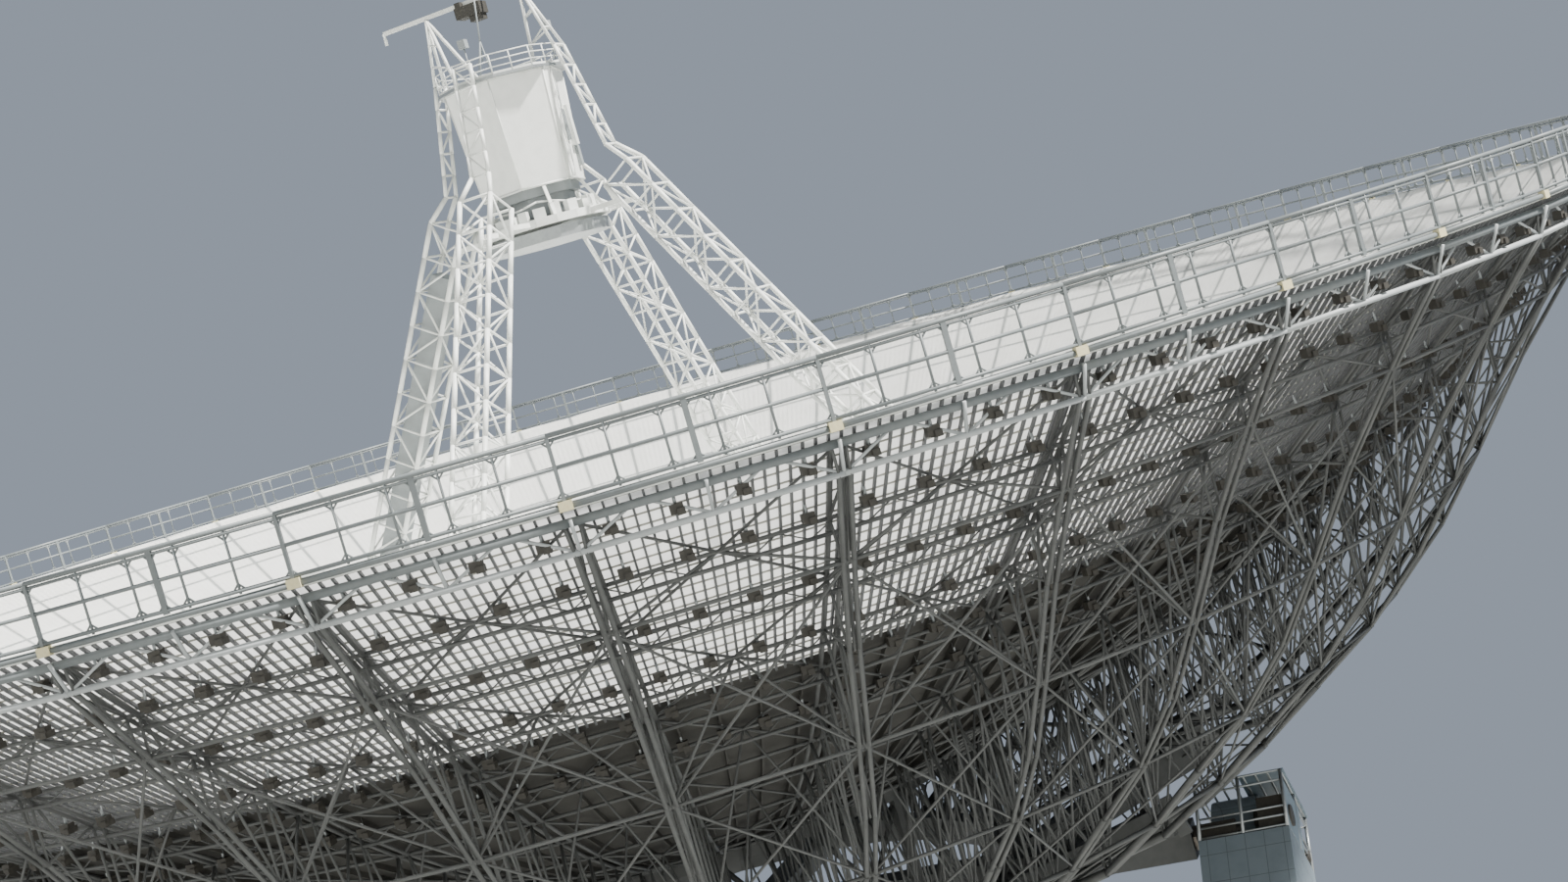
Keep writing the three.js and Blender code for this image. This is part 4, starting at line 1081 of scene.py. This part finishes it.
@dataclass
class BeamCrane:
    """Two tube frames over the cabin, the beam between them and its hoist, in real metres."""

    height: float = 49.6
    ends: Pair = (-6.0, 3.0)
    beam: Pair = (0.12, 0.2)
    hook_drop: float = 0.6
    tube: float = 0.09
    foot_tube: float = 0.08
    tie: float = 0.05
    tie_shares: Row = (0.3, 0.62)
    # Side, reach of the apex, and angle and reach of each foot on the deck
    frames: tuple[tuple[int, float, tuple[Pair, ...]], ...] = (
        (-1, -3.34, ((243.5, 2.87), (267.2, 2.29))),
        (1, 2.36, ((6.3, 1.85),)),
    )
    apex_drop: float = 0.1
    foot_sink: float = 0.05
    ladder_top: Pair = (3.65, 46.03)
    ladder_half: float = 0.5
    hoist_reach: float = -0.63
    hoist_drop: float = 0.45
    # Shift from the trolley, and half size, of the trolley, the winch box and the motor
    hoist_boxes: tuple[tuple[Triple, Triple], ...] = (
        ((0, 0, 0), (0.75, 0.4, 0.3)),
        ((0.3, 0, -0.4), (0.35, 0.3, 0.2)),
        ((-0.5, 0, 0.35), (0.16, 0.35, 0.2)),
    )

    def frame(self, side: int, apex: float, deck_feet: tuple[Pair, ...]) -> list[Batch]:
        """Tubes to the apex from a leg's ladder and from the deck, with two rows of ties."""
        angle = math.radians(LEG_DEG)
        half = polar(angle + np.pi / 2, self.ladder_half, 0)
        ladder = polar(angle, side * self.ladder_top[0], self.ladder_top[1])
        deck = [polar(math.radians(turn), reach, DECK_TOP - self.foot_sink) for turn, reach in deck_feet]
        feet = np.stack([ladder + half, ladder - half, *deck])
        head = polar(angle, apex, self.height - self.apex_drop)
        ties = [loop(feet[:3] + (head - feet[:3]) * share, self.tie) for share in self.tie_shares]
        return [tubes(feet, head, self.tube), *ties, tubes(feet[0], feet[1], self.foot_tube)]

    def build(self, paints: Paints) -> None:
        """Makes the frames, the beam with its hook end, and the hoist."""
        angle = math.radians(LEG_DEG)
        left, right = (polar(angle, reach, self.height) for reach in self.ends)
        work = [beams(left, right, *self.beam, UP), tubes(left, left - self.hook_drop * UP, self.tube)]
        for row in self.frames:
            work += self.frame(*row)
        trolley = polar(angle, self.hoist_reach, self.height - self.hoist_drop)
        hoist = joined([boxes(trolley + shift, level_axes(angle), half) for shift, half in self.hoist_boxes])
        make_piece("beam_crane", [(joined(work), paints.tube)], Body.DISH,
                   replaces=("cabin_crane",))
        make_piece("hoist_trolley", [(hoist, paints.motor)], Body.DISH,
                   replaces=("crane_hoist",))


@dataclass
class DeckMasts:
    """Thin aerial mast on its tripod feet and two lamp brackets on the cabin's deck, in real metres."""

    foot: Triple = (-0.2, -1.6, DECK_TOP)
    run: Triple = (0.6, 0.5, 5.2)
    start: float = 0.2
    mast: float = 0.045
    tripod_feet: tuple[Triple, ...] = ((0.5, 0, 0), (-0.5, 0.2, 0), (0, -0.5, 0))
    tripod_head: float = 0.4
    tripod: float = 0.03
    lamp_feet: tuple[Triple, ...] = ((-0.6, -2.1, DECK_TOP), (2.9, 0.6, DECK_TOP))
    lamp_stem: float = 0.035
    stem_height: float = 1.9
    lamp_height: float = 2.05
    lamp: Triple = (0.2, 0.2, 0.22)

    def build(self, paints: Paints) -> None:
        """Makes the mast and the lamps."""
        foot, run, lamps = np.array(self.foot), np.array(self.run), np.array(self.lamp_feet)
        work = joined([
            tubes(foot + self.tripod_feet, foot + self.tripod_head * run, self.tripod),
            tubes(foot + self.start * run, foot + run, self.mast),
            tubes(lamps, lamps + self.stem_height * UP, self.lamp_stem),
            upright_boxes(lamps + self.lamp_height * UP, self.lamp),
        ])
        make_piece("deck_masts", [(work, paints.machine)], Body.DISH)


@dataclass
class HubBracing:
    """Crossed tubes round the hub between its base ring and its crown, in real metres."""

    radius: float = 14.45
    base: float = 0.0
    crown: float = 6.6
    tube: float = 0.14
    lace: float = 0.08
    spoke_radius: float = 2.2
    spoke_drop: float = 1.6
    spoke_start: float = 0.97

    def build(self, paints: Paints) -> None:
        """Makes the crossed tubes and a star of stays under the centre panels."""
        bays = np.arange(0.0, BAYS, 2)
        foot, head = (polar(node_angle(bays), self.radius, height) for height in (self.base, self.crown))
        next_foot, next_head = np.roll(foot, -1, axis=0), np.roll(head, -1, axis=0)
        middle = polar(node_angle(bays), self.spoke_radius, self.crown - self.spoke_drop)
        work = joined([
            tubes(foot, next_head, self.tube),
            tubes(head, next_foot, self.tube),
            tubes((foot + next_foot) / 2, (head + next_head) / 2, self.lace),
            tubes(head * [self.spoke_start, self.spoke_start, 1], middle, self.lace),
            loop(middle, self.lace),
        ])
        # The hub bracing takes the back structure's painted shade
        make_piece("hub_bracing", [(work, paints.back)], Body.DISH)


@dataclass
class ElevationWheel:
    """Latticed wheel quadrant with its rack, under the hub, in real metres."""

    radius: float = 28.0
    depth: float = 1.6
    half_width: float = 0.5
    start_deg: float = 183.0
    end_deg: float = 278.0
    steps: int = 40
    outer_inset: float = 0.3
    outer_chord: float = 0.16
    inner_chord: float = 0.14
    lacing: float = 0.08
    teeth: int = 190
    # Distance inside the wheel's radius, and half width and half depth, of the rack's bed and teeth
    rack_bed: Triple = (0.22, 0.3, 0.1)
    rack_tooth: Triple = (0.08, 0.26, 0.08)
    bed_overlap: float = 0.01
    tooth_share: float = 1 / 4.5
    spokes: Row = (186.5, 210.0, 232.0, 255.0, 276.0)
    spoke_tube: float = 0.2
    spoke_half_width: float = 0.45
    spoke_shares: tuple[float, float, int] = (0.08, 0.94, 15)
    boss_height: float = -1.95
    boss: Triple = (0.6, 2.1, 1.1)
    seat_foot: Triple = (0, -14.4, -3.1)
    seat_head: Triple = (0, -14.4, -1.13)
    seat: float = 0.6

    def at(self, angle: Array, radius: Array | float, x: Array | float) -> Array:
        """Points in the wheel's plane: y is r cos a, z is r sin a, and x is aside."""
        angle, radius, x = np.broadcast_arrays(*(np.asarray(v, float) for v in (angle, radius, x)))
        return np.stack([x, radius * np.cos(angle), radius * np.sin(angle)], axis=-1)

    def rim(self) -> list[Batch]:
        """Four chords bent round the arc, cross bars and a zigzag on both faces."""
        angle = np.radians(np.linspace(self.start_deg, self.end_deg, self.steps + 1))[:, None]
        x = np.array([[-1, 1]]) * self.half_width
        outer, inner = (self.at(angle, self.radius - inset, x) for inset in (self.outer_inset, self.depth))
        return [
            tubes(outer[:-1], outer[1:], self.outer_chord, 8),
            tubes(inner[:-1], inner[1:], self.inner_chord, 8),
            tubes(*zigzag(outer, inner), self.lacing),
            tubes(outer[:, 0], outer[:, 1], self.lacing),
            tubes(inner[:, 0], inner[:, 1], self.lacing),
        ]

    def rack(self) -> Batch:
        """The rack: a curved bar of short straight boxes with a tooth on each."""
        angle = np.radians(np.linspace(self.start_deg, self.end_deg, self.teeth))
        out, along = self.at(angle, 1.0, 0), self.at(angle + np.pi / 2, 1.0, 0)
        axes = np.stack([np.broadcast_to([1.0, 0, 0], out.shape), along, out], axis=1)
        pitch = np.radians(self.end_deg - self.start_deg) * self.radius / self.teeth
        lengths = (pitch / 2 + self.bed_overlap, pitch * self.tooth_share)
        return joined([
            boxes(self.at(angle, self.radius - inset, 0), axes, (half_width, length, half_depth))
            for (inset, half_width, half_depth), length in zip((self.rack_bed, self.rack_tooth), lengths)
        ])

    def arms(self) -> list[Batch]:
        """Each spoke is a pair of tubes with a zigzag, from the boss to the rim."""
        work = []
        root = self.boss_height * UP
        wide = np.array([self.spoke_half_width, 0, 0])
        for degrees in self.spokes:
            tip = self.at(np.radians(degrees), self.radius - self.depth / 2, 0)
            line = root + (tip - root) * np.linspace(*self.spoke_shares)[:, None]
            work += [tubes(line[0] + wide, tip + wide, self.spoke_tube, 8),
                     tubes(line[0] - wide, tip - wide, self.spoke_tube, 8),
                     tubes(*zigzag(line + wide, line - wide), self.lacing)]
        return work

    def build(self, paints: Paints) -> None:
        """Makes the wheel, with the boss and the post that seat it under the hub."""
        boss = upright_boxes(self.boss_height * UP, self.boss)
        seat = beams(self.seat_foot, self.seat_head, self.seat, self.seat, [1.0, 0, 0])
        frame_work = joined([*self.rim(), *self.arms(), boss, seat])
        make_piece("wheel_quadrant", [(frame_work, paints.machine), (self.rack(), paints.rail)], Body.DISH,
                   replaces=("elevation_wheel",))


# Alidade


@dataclass
class Tower:
    """Side tower of round tubes with ties, crossed braces, flanges, walkways and a ladder, in real metres."""

    foot: Triple = (*TRACK_CORNER, 5.63)
    head: Triple = (26.85, 1.9, 43.97)
    levels: Row = (6.2, 17.5, 30.5, 43.4)
    strut_foot: Pair = (15.0, 5.7)
    leg: float = 0.72
    tie: float = 0.42
    brace: float = 0.3
    flange: float = 0.95
    flange_half: float = 0.12
    flange_shares: Row = (0.03, 0.2, 0.42, 0.64, 0.86)
    cap: Triple = (2.15, 2.6, 0.4)
    walk: float = 1.0
    walk_half_depth: float = 0.04
    rail_height: float = 1.1
    post_step: float = 1.5
    ladder_ends: float = 1.0
    ladder_shift: Pair = (0.35, 0.1)
    ladder_half: float = 0.3
    ladder_rail: float = 0.05
    rung: float = 0.03
    rung_step: float = 0.45

    def at(self, side: int, face: int, height: Array | float) -> Array:
        """Point on a leg's centre line at a height."""
        share = (np.asarray(height, float)[..., None] - self.foot[2]) / (self.head[2] - self.foot[2])
        foot, head = np.array(self.foot), np.array(self.head)
        return (foot + (head - foot) * share) * np.array([side, face, 1.0])

    def frame_work(self, side: int) -> Batch:
        """Legs with their flanges, struts, ties, crossed braces and the cap."""
        low, high, ties = (np.array(part) for part in (self.levels[:-1], self.levels[1:], self.levels[1:-1]))
        joints = self.foot[2] + (self.head[2] - self.foot[2]) * np.array(self.flange_shares)
        work = []
        for face in (-1, 1):
            strut = np.array([side * self.strut_foot[0], face * self.foot[1], self.strut_foot[1]])
            middle = self.at(side, face, joints)
            step = self.at(side, face, joints + self.flange_half) - middle
            work += [
                tubes(self.at(side, face, self.foot[2]), self.at(side, face, self.head[2]), self.leg, 16),
                tubes(strut, self.at(side, face, self.levels[1]), self.tie, 12),
                tubes(self.at(side, face, low), self.at(side, -face, high), self.brace, 10),
                tubes(middle - step, middle + step, self.flange, 16),
            ]
        top = self.at(side, 1, self.head[2] - self.cap[2]) * [1, 0, 1]
        ties = tubes(self.at(side, -1, ties), self.at(side, 1, ties), self.tie, 12)
        return joined([*work, ties, upright_boxes(top, self.cap)])

    def walkways(self, side: int) -> tuple[Batch, Batch]:
        """Grating beside each tie, on the outer side, and its railing."""
        decks, rails = [], []
        for level in self.levels[1:-1]:
            place = self.at(side, 1, level)
            reach = abs(place[1]) - self.leg
            x, z = place[0] + side * (self.tie + self.walk / 2), level + self.tie
            decks.append(upright_boxes([x, 0, z], (self.walk / 2, reach, self.walk_half_depth)))
            edge = x + side * self.walk / 2
            posts = max(round(2 * reach / self.post_step), 1) + 1
            foot = np.array([[edge, y, z] for y in np.linspace(-reach, reach, posts)])
            rails.append(railing(foot, self.rail_height))
        return joined(decks), joined(rails)

    def ladder(self, side: int) -> Batch:
        """Ladder up the rear leg: two rails and rungs."""
        height = np.arange(self.foot[2] + self.ladder_ends, self.head[2] - self.ladder_ends, self.rung_step)
        behind, above = self.ladder_shift
        line = self.at(side, 1, height) + [0, self.leg + behind, above]
        half = np.array([self.ladder_half, 0, 0])
        rails = [tubes(rail[0], rail[-1], self.ladder_rail) for rail in (line - half, line + half)]
        return joined([*rails, tubes(line - half, line + half, self.rung, 4)])

    def build(self, paints: Paints) -> None:
        """Makes both towers."""
        for name, side in HANDS:
            decks, rails = self.walkways(side)
            layers = [(self.frame_work(side), paints.tube), (decks, paints.galvanised),
                      (joined([rails, self.ladder(side)]), paints.galvanised)]
            make_piece(f"tube_tower_{name}", layers, Body.ALIDADE, replaces=(f"tower_{name}",))


@dataclass
class TowerHead:
    """Gantry, drives and cover sheet on the roof of a machine room, in real metres."""

    middle: float = 26.85
    roof: float = 48.43
    half: Pair = (2.07, 2.52)
    levels: Row = (0.1, 0.62, 1.1, 2.46, 2.98)
    post: float = 0.09
    rail: float = 0.06
    cross_bars: tuple[float, float, int] = (0.15, 0.85, 6)
    # Place on the roof and half size of each drive
    motors: tuple[Row, ...] = (
        (-1.2, -2.0, 0.5, 0.85, 0.38, 0.45),
        (1.35, -1.6, 1.0, 0.62, 0.75, 0.8),
        (1.3, 2.0, 0.6, 0.6, 0.38, 0.5),
    )
    drum_reach: float = 0.25
    drum_share: float = 0.7
    cover_place: Triple = (0.03, -0.9, 1.3)
    cover_half: Triple = (0.03, 1.6, 1.2)
    canopy_shift: Pair = (0.1, 0.03)
    canopy_overhang: float = 0.05
    canopy_half_depth: float = 0.04
    bearing_face: float = 27.4
    bolt_radius: float = 1.15
    bolts: int = 12
    bolt: float = 0.08

    def gantry(self, side: int) -> Batch:
        """Posts, rails at each level, and cross bars over the top."""
        x, y = self.half
        corner = np.array([[-x, -y, 0], [x, -y, 0], [x, y, 0], [-x, y, 0]])
        corner += [side * self.middle, 0, self.roof]
        mid = (corner + np.roll(corner, -1, axis=0)) / 2
        # No mid post stands on the inner side, where the trunnion passes
        posts = np.concatenate([corner, mid[np.abs(mid[:, 0]) >= self.middle - self.post]])
        top = self.levels[-1] * UP
        share = np.linspace(*self.cross_bars)[:, None]
        front = corner[0] + (corner[1] - corner[0]) * share
        back = corner[3] + (corner[2] - corner[3]) * share
        rails = [loop(corner + level * UP, self.rail) for level in self.levels]
        bars = tubes(front + top, back + top, self.rail)
        return joined([tubes(posts, posts + top, self.post), *rails, bars])

    def drives(self, side: int) -> Batch:
        """Motors and boxes beside the bearing, with a round drum on each."""
        work = []
        for x, y, z, *half in self.motors:
            centre = np.array([side * (self.middle + x), y, self.roof + z])
            reach = np.array([half[0] + self.drum_reach, 0, 0])
            drum = tubes(centre - reach, centre + reach, half[1] * self.drum_share, 12)
            work += [upright_boxes(centre, half), drum]
        return joined(work)

    def covers(self, side: int) -> Batch:
        """Sheet on the outer side of the gantry, and a flat canopy over its outer half."""
        x, y = self.half
        out, along, up = self.cover_place
        sheet_place = [side * (self.middle + x + out), along, self.roof + up]
        out, up = self.canopy_shift
        canopy_place = [side * (self.middle + x / 2 + out), 0, self.roof + self.levels[-1] + up]
        canopy_half = (x / 2 + self.canopy_overhang, y, self.canopy_half_depth)
        return joined([upright_boxes(sheet_place, self.cover_half), upright_boxes(canopy_place, canopy_half)])

    def flange(self, side: int) -> Batch:
        """Bolt heads round the bearing's outer face."""
        angle = 2 * np.pi * np.arange(self.bolts) / self.bolts
        across, up = self.bolt_radius * np.cos(angle), self.bolt_radius * np.sin(angle)
        foot = np.stack([np.full_like(angle, side * self.bearing_face), across, AXIS_HEIGHT + up], axis=1)
        return tubes(foot, foot + [side * self.bolt, 0, 0], self.bolt)

    def build(self, paints: Paints) -> None:
        """Makes both tower heads."""
        for name, side in HANDS:
            layers = [(self.gantry(side), paints.galvanised), (self.drives(side), paints.motor),
                      (self.covers(side), paints.cover), (self.flange(side), paints.rail)]
            make_piece(f"roof_gantry_{name}", layers, Body.ALIDADE,
                       replaces=(f"head_gantry_{name}",))


@dataclass
class Bogies:
    """Four corner bogies on the circular rail, in real metres."""

    top: float = 3.99
    rail_top: float = 1.258
    wheel_radius: float = 0.88
    wheel_gap: float = 0.02
    wheel_places: Row = (-1.7, 1.7)
    # Radius and half width along the wheel's section: hub, disc, tread and flange
    wheel_section: tuple[Pair, ...] = (
        (0, 0.34), (0.25, 0.34), (0.28, 0.16), (0.68, 0.12), (0.76, 0.28), (0.88, 0.28),
    )
    wheel_steps: int = 24
    # Depth below the top, and half size, of the frame and the plate under it
    frame_boxes: tuple[tuple[float, Triple], ...] = ((0.55, (0.9, 2.2, 0.55)), (1.2, (0.7, 1.2, 0.2)))
    pivot: Triple = (0.05, 0.6, 1.0)
    axle_box_places: Row = (-0.62, 0.62)
    axle_box_lift: float = 0.35
    axle_box: Triple = (0.14, 0.6, 0.75)
    motor: Triple = (0.78, 1.7, 0.34)
    gearbox_place: Pair = (1.05, 0.1)
    gearbox: Triple = (0.3, 0.42, 0.5)

    def wheel(self) -> Batch:
        """Tread between two flanges with a dished disc and a hub, turned about its axle."""
        outer = [(radius, -width) for radius, width in self.wheel_section]
        return turned([*outer, *self.wheel_section[::-1]], self.wheel_steps)

    def one(self, place: Array, paints: Paints) -> list[tuple[Batch, Material]]:
        """Body and axle boxes in grey, wheels in bare steel, and motors in black."""
        axes = level_axes(math.atan2(place[1], place[0]))
        out, way, up = axes

        def local(x: float, y: float, z: float) -> Array:
            """Point at distances outward, along the track and upward from the corner."""
            return place + np.array([x, y, z]) @ axes

        work = [boxes(local(0, 0, self.top - drop), axes, half) for drop, half in self.frame_boxes]
        first, last, radius = self.pivot
        work.append(tubes(local(0, 0, self.top - first), local(0, 0, self.top - last), radius, 20))
        wheels, motors = [], []
        axle = self.rail_top + self.wheel_radius + self.wheel_gap
        first, last, radius = self.motor
        gear_out, gear_lift = self.gearbox_place
        for y in self.wheel_places:
            wheels.append(moved(self.wheel(), np.stack([way, up, out]), local(0, y, axle)))
            for x in self.axle_box_places:
                work.append(boxes(local(x, y, axle + self.axle_box_lift), axes, self.axle_box))
            motors.append(tubes(local(first, y, axle), local(last, y, axle), radius, 14))
            motors.append(boxes(local(gear_out, y, axle + gear_lift), axes, self.gearbox))
        return [(joined(work), paints.machine), (joined(wheels), paints.rail), (joined(motors), paints.motor)]

    def build(self, paints: Paints) -> None:
        """Makes the four bogies."""
        for end, y in (("front", -1), ("rear", 1)):
            for name, x in HANDS:
                layers = self.one(np.array([x * TRACK_CORNER[0], y * TRACK_CORNER[1], 0]), paints)
                make_piece(f"drive_bogie_{end}_{name}", layers, Body.ALIDADE,
                           replaces=(f"bogie_{end}_{name}",))


@dataclass
class AlidadeRailings:
    """Railings on the base frame's sides and round the top of the elevation drive, in real metres."""

    end_gap: float = 2.2
    side_shift: float = 0.6
    top: float = 5.63
    rail_height: float = 1.1
    post_step: float = 1.8
    drive_top: float = 19.52
    drive_floor: float = 2.55
    drive_post_step: float = 0.9

    def along(self, start: Array, end: Array, step: float) -> Batch:
        """Railing between two points, with its posts about one step apart."""
        count = max(int(np.linalg.norm(end - start) / step), 1)
        return railing(start + (end - start) * np.linspace(0, 1, count + 1)[:, None], self.rail_height)

    def build(self, paints: Paints) -> None:
        """Makes the railings."""
        x, y, z = TRACK_CORNER[0] - self.end_gap, TRACK_CORNER[1] + self.side_shift, self.top
        work = [self.along(np.array([-x, face * y, z]), np.array([x, face * y, z]), self.post_step)
                for face in (-1, 1)]
        f, z = self.drive_floor, self.drive_top
        square = np.array([[-f, -f, z], [f, -f, z], [f, f, z], [-f, f, z]])
        for start, end in zip(square, np.roll(square, -1, axis=0)):
            work.append(self.along(start, end, self.drive_post_step))
        make_piece("alidade_railings", [(joined(work), paints.galvanised)], Body.ALIDADE)


@dataclass
class RailClamps:
    """Rail clamps along both sides of the circular rail, in real metres."""

    radius: float = 32.02
    clamps: int = 160
    offset: float = 0.42
    height: float = 1.05
    plate: Triple = (0.1, 0.2, 0.045)
    bolt: float = 0.05
    bolt_height: float = 0.14

    def build(self, paints: Paints) -> None:
        """Makes clamp plates and bolts."""
        angle = 2 * np.pi * (np.arange(self.clamps) + 0.5) / self.clamps
        rows = [polar(angle, self.radius + side * self.offset, self.height) for side in (-1, 1)]
        plates = joined([boxes(row, level_axes(angle), self.plate) for row in rows])
        bolts = joined([tubes(row, row + self.bolt_height * UP, self.bolt) for row in rows])
        make_piece("rail_clamps", [(plates, paints.rail), (bolts, paints.galvanised)], Body.TRACK)


# Frame nodes that keep their shape


class NodeFinisher:
    """Gives the frame's own solids their finish."""

    white_from: float = 0.2

    def __init__(self, paints: Paints) -> None:
        """Pairs the start of each node's name with its paint."""
        self.paints = paints
        self.rules = {
            "track_foundation": paints.concrete, "pintle_pier": paints.concrete,
            "azimuth_rail": paints.rail, "trunnion": paints.rail,
            "base_frame": paints.tube, "tower": paints.tube, "cabin_frame": paints.tube,
            # The hub frame takes the back structure's painted shade
            "hub_frame": paints.back, "bearing_house": paints.walls, "cabin_deck": paints.galvanised,
            "head_gantry": paints.galvanised, "secondary_mirror": paints.galvanised,
            "": paints.machine,
        }

    def dress(self, node: str, *materials: Material) -> bpy.types.Object:
        """Puts materials on a node in place of its own."""
        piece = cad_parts[node]
        piece.data.materials.clear()
        for material in materials:
            piece.data.materials.append(material)
        return piece

    def dress_centre(self) -> None:
        """White paint on the faces of the centre panels that look along the dish axis, and the underside's
        dark painted shade on the rest.
        """
        piece = self.dress("reflector_centre", self.paints.tube, self.paints.under)
        mesh = piece.data
        normals = np.empty(3 * len(mesh.polygons))
        mesh.polygons.foreach_get("normal", normals)
        turn = np.array(piece.matrix_world.to_3x3())
        axis = dish_to_model(UP) - dish_to_model(0 * UP)
        facing = normals.reshape(-1, 3) @ turn.T @ axis / SCALE
        mesh.polygons.foreach_set("material_index", np.where(facing > self.white_from, 0, 1).astype(np.int32))

    def build(self) -> None:
        """Dresses every node by its name."""
        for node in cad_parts:
            self.dress(node, next(paint for start, paint in self.rules.items() if node.startswith(start)))
        self.dress_centre()


# Stage


@dataclass
class Stage:
    """Pale floor, soft sky, sun and camera."""

    camera_place: Triple = (4.427, -9.013, 0.145)
    forward: Triple = (-0.3363, 0.7031, 0.6266)
    up: Triple = (0.2397, -0.5795, 0.7789)
    lens: float = 47.588
    view_end: float = 500.0
    sun_from: Triple = (0.62, -0.5, 0.68)
    sun_colour: str = "#FFFCF6"
    sun_strength: float = 17.0
    sun_deg: float = 4.0
    sky: str = "#C9D6E8"
    sky_strength: float = 0.5
    floor_half: float = 150.0
    floor_height: float = -0.002

    def camera(self) -> None:
        """Places the camera from its forward and up directions."""
        data = bpy.data.cameras.new("camera")
        data.lens = self.lens
        data.clip_end = self.view_end
        camera = bpy.data.objects.new("camera", data)
        bpy.context.scene.collection.objects.link(camera)
        forward = Vector(self.forward).normalized()
        right = forward.cross(Vector(self.up)).normalized()
        turn = Matrix((right, right.cross(forward), -forward)).transposed()
        camera.matrix_world = Matrix.Translation(self.camera_place) @ turn.to_4x4()
        bpy.context.scene.camera = camera

    def light(self) -> None:
        """A warm sun with a soft edge and an even pale sky."""
        data = bpy.data.lights.new("sun", "SUN")
        data.energy = self.sun_strength
        data.angle = math.radians(self.sun_deg)
        data.color = linear(self.sun_colour)[:3]
        sun = bpy.data.objects.new("sun", data)
        bpy.context.scene.collection.objects.link(sun)
        sun.rotation_euler = Vector(self.sun_from).to_track_quat("Z", "Y").to_euler()
        world = bpy.data.worlds.new("studio")
        bpy.context.scene.world = world
        world.use_nodes = True
        background = world.node_tree.nodes["Background"]
        background.inputs[0].default_value = linear(self.sky)
        background.inputs[1].default_value = self.sky_strength

    def floor(self) -> None:
        """A wide pale floor just under the foundation."""
        half, level = self.floor_half, self.floor_height
        corner = [(-half, -half, level), (half, -half, level), (half, half, level), (-half, half, level)]
        mesh = bpy.data.meshes.new("floor")
        mesh.from_pydata(corner, [], [(0, 1, 2, 3)])
        piece = bpy.data.objects.new("floor", mesh)
        # Matt pale screed of a studio floor, with wide faint clouds
        mesh.materials.append(Finish("pale_floor", "#A9AAA7", "#A0A19E", 0.9, stain_mm=900).build())
        bpy.context.scene.collection.objects.link(piece)

    def build(self) -> None:
        """Sets the whole stage."""
        self.camera()
        self.light()
        self.floor()


def main() -> None:
    """Builds every sub-assembly in order."""
    logging.basicConfig(level=logging.INFO, format="%(name)s %(message)s")
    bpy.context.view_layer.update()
    Stage().build()
    paints = Paints()
    NodeFinisher(paints).build()
    for part in (Reflector, BackStructure, Adjusters, RimFence, CabinLegs, FocusCabin, DeckRails,
                 BeamCrane, DeckMasts, HubBracing, ElevationWheel, Tower, TowerHead, Bogies,
                 AlidadeRailings, RailClamps):
        part().build(paints)


if __name__ == "__main__":
    main()
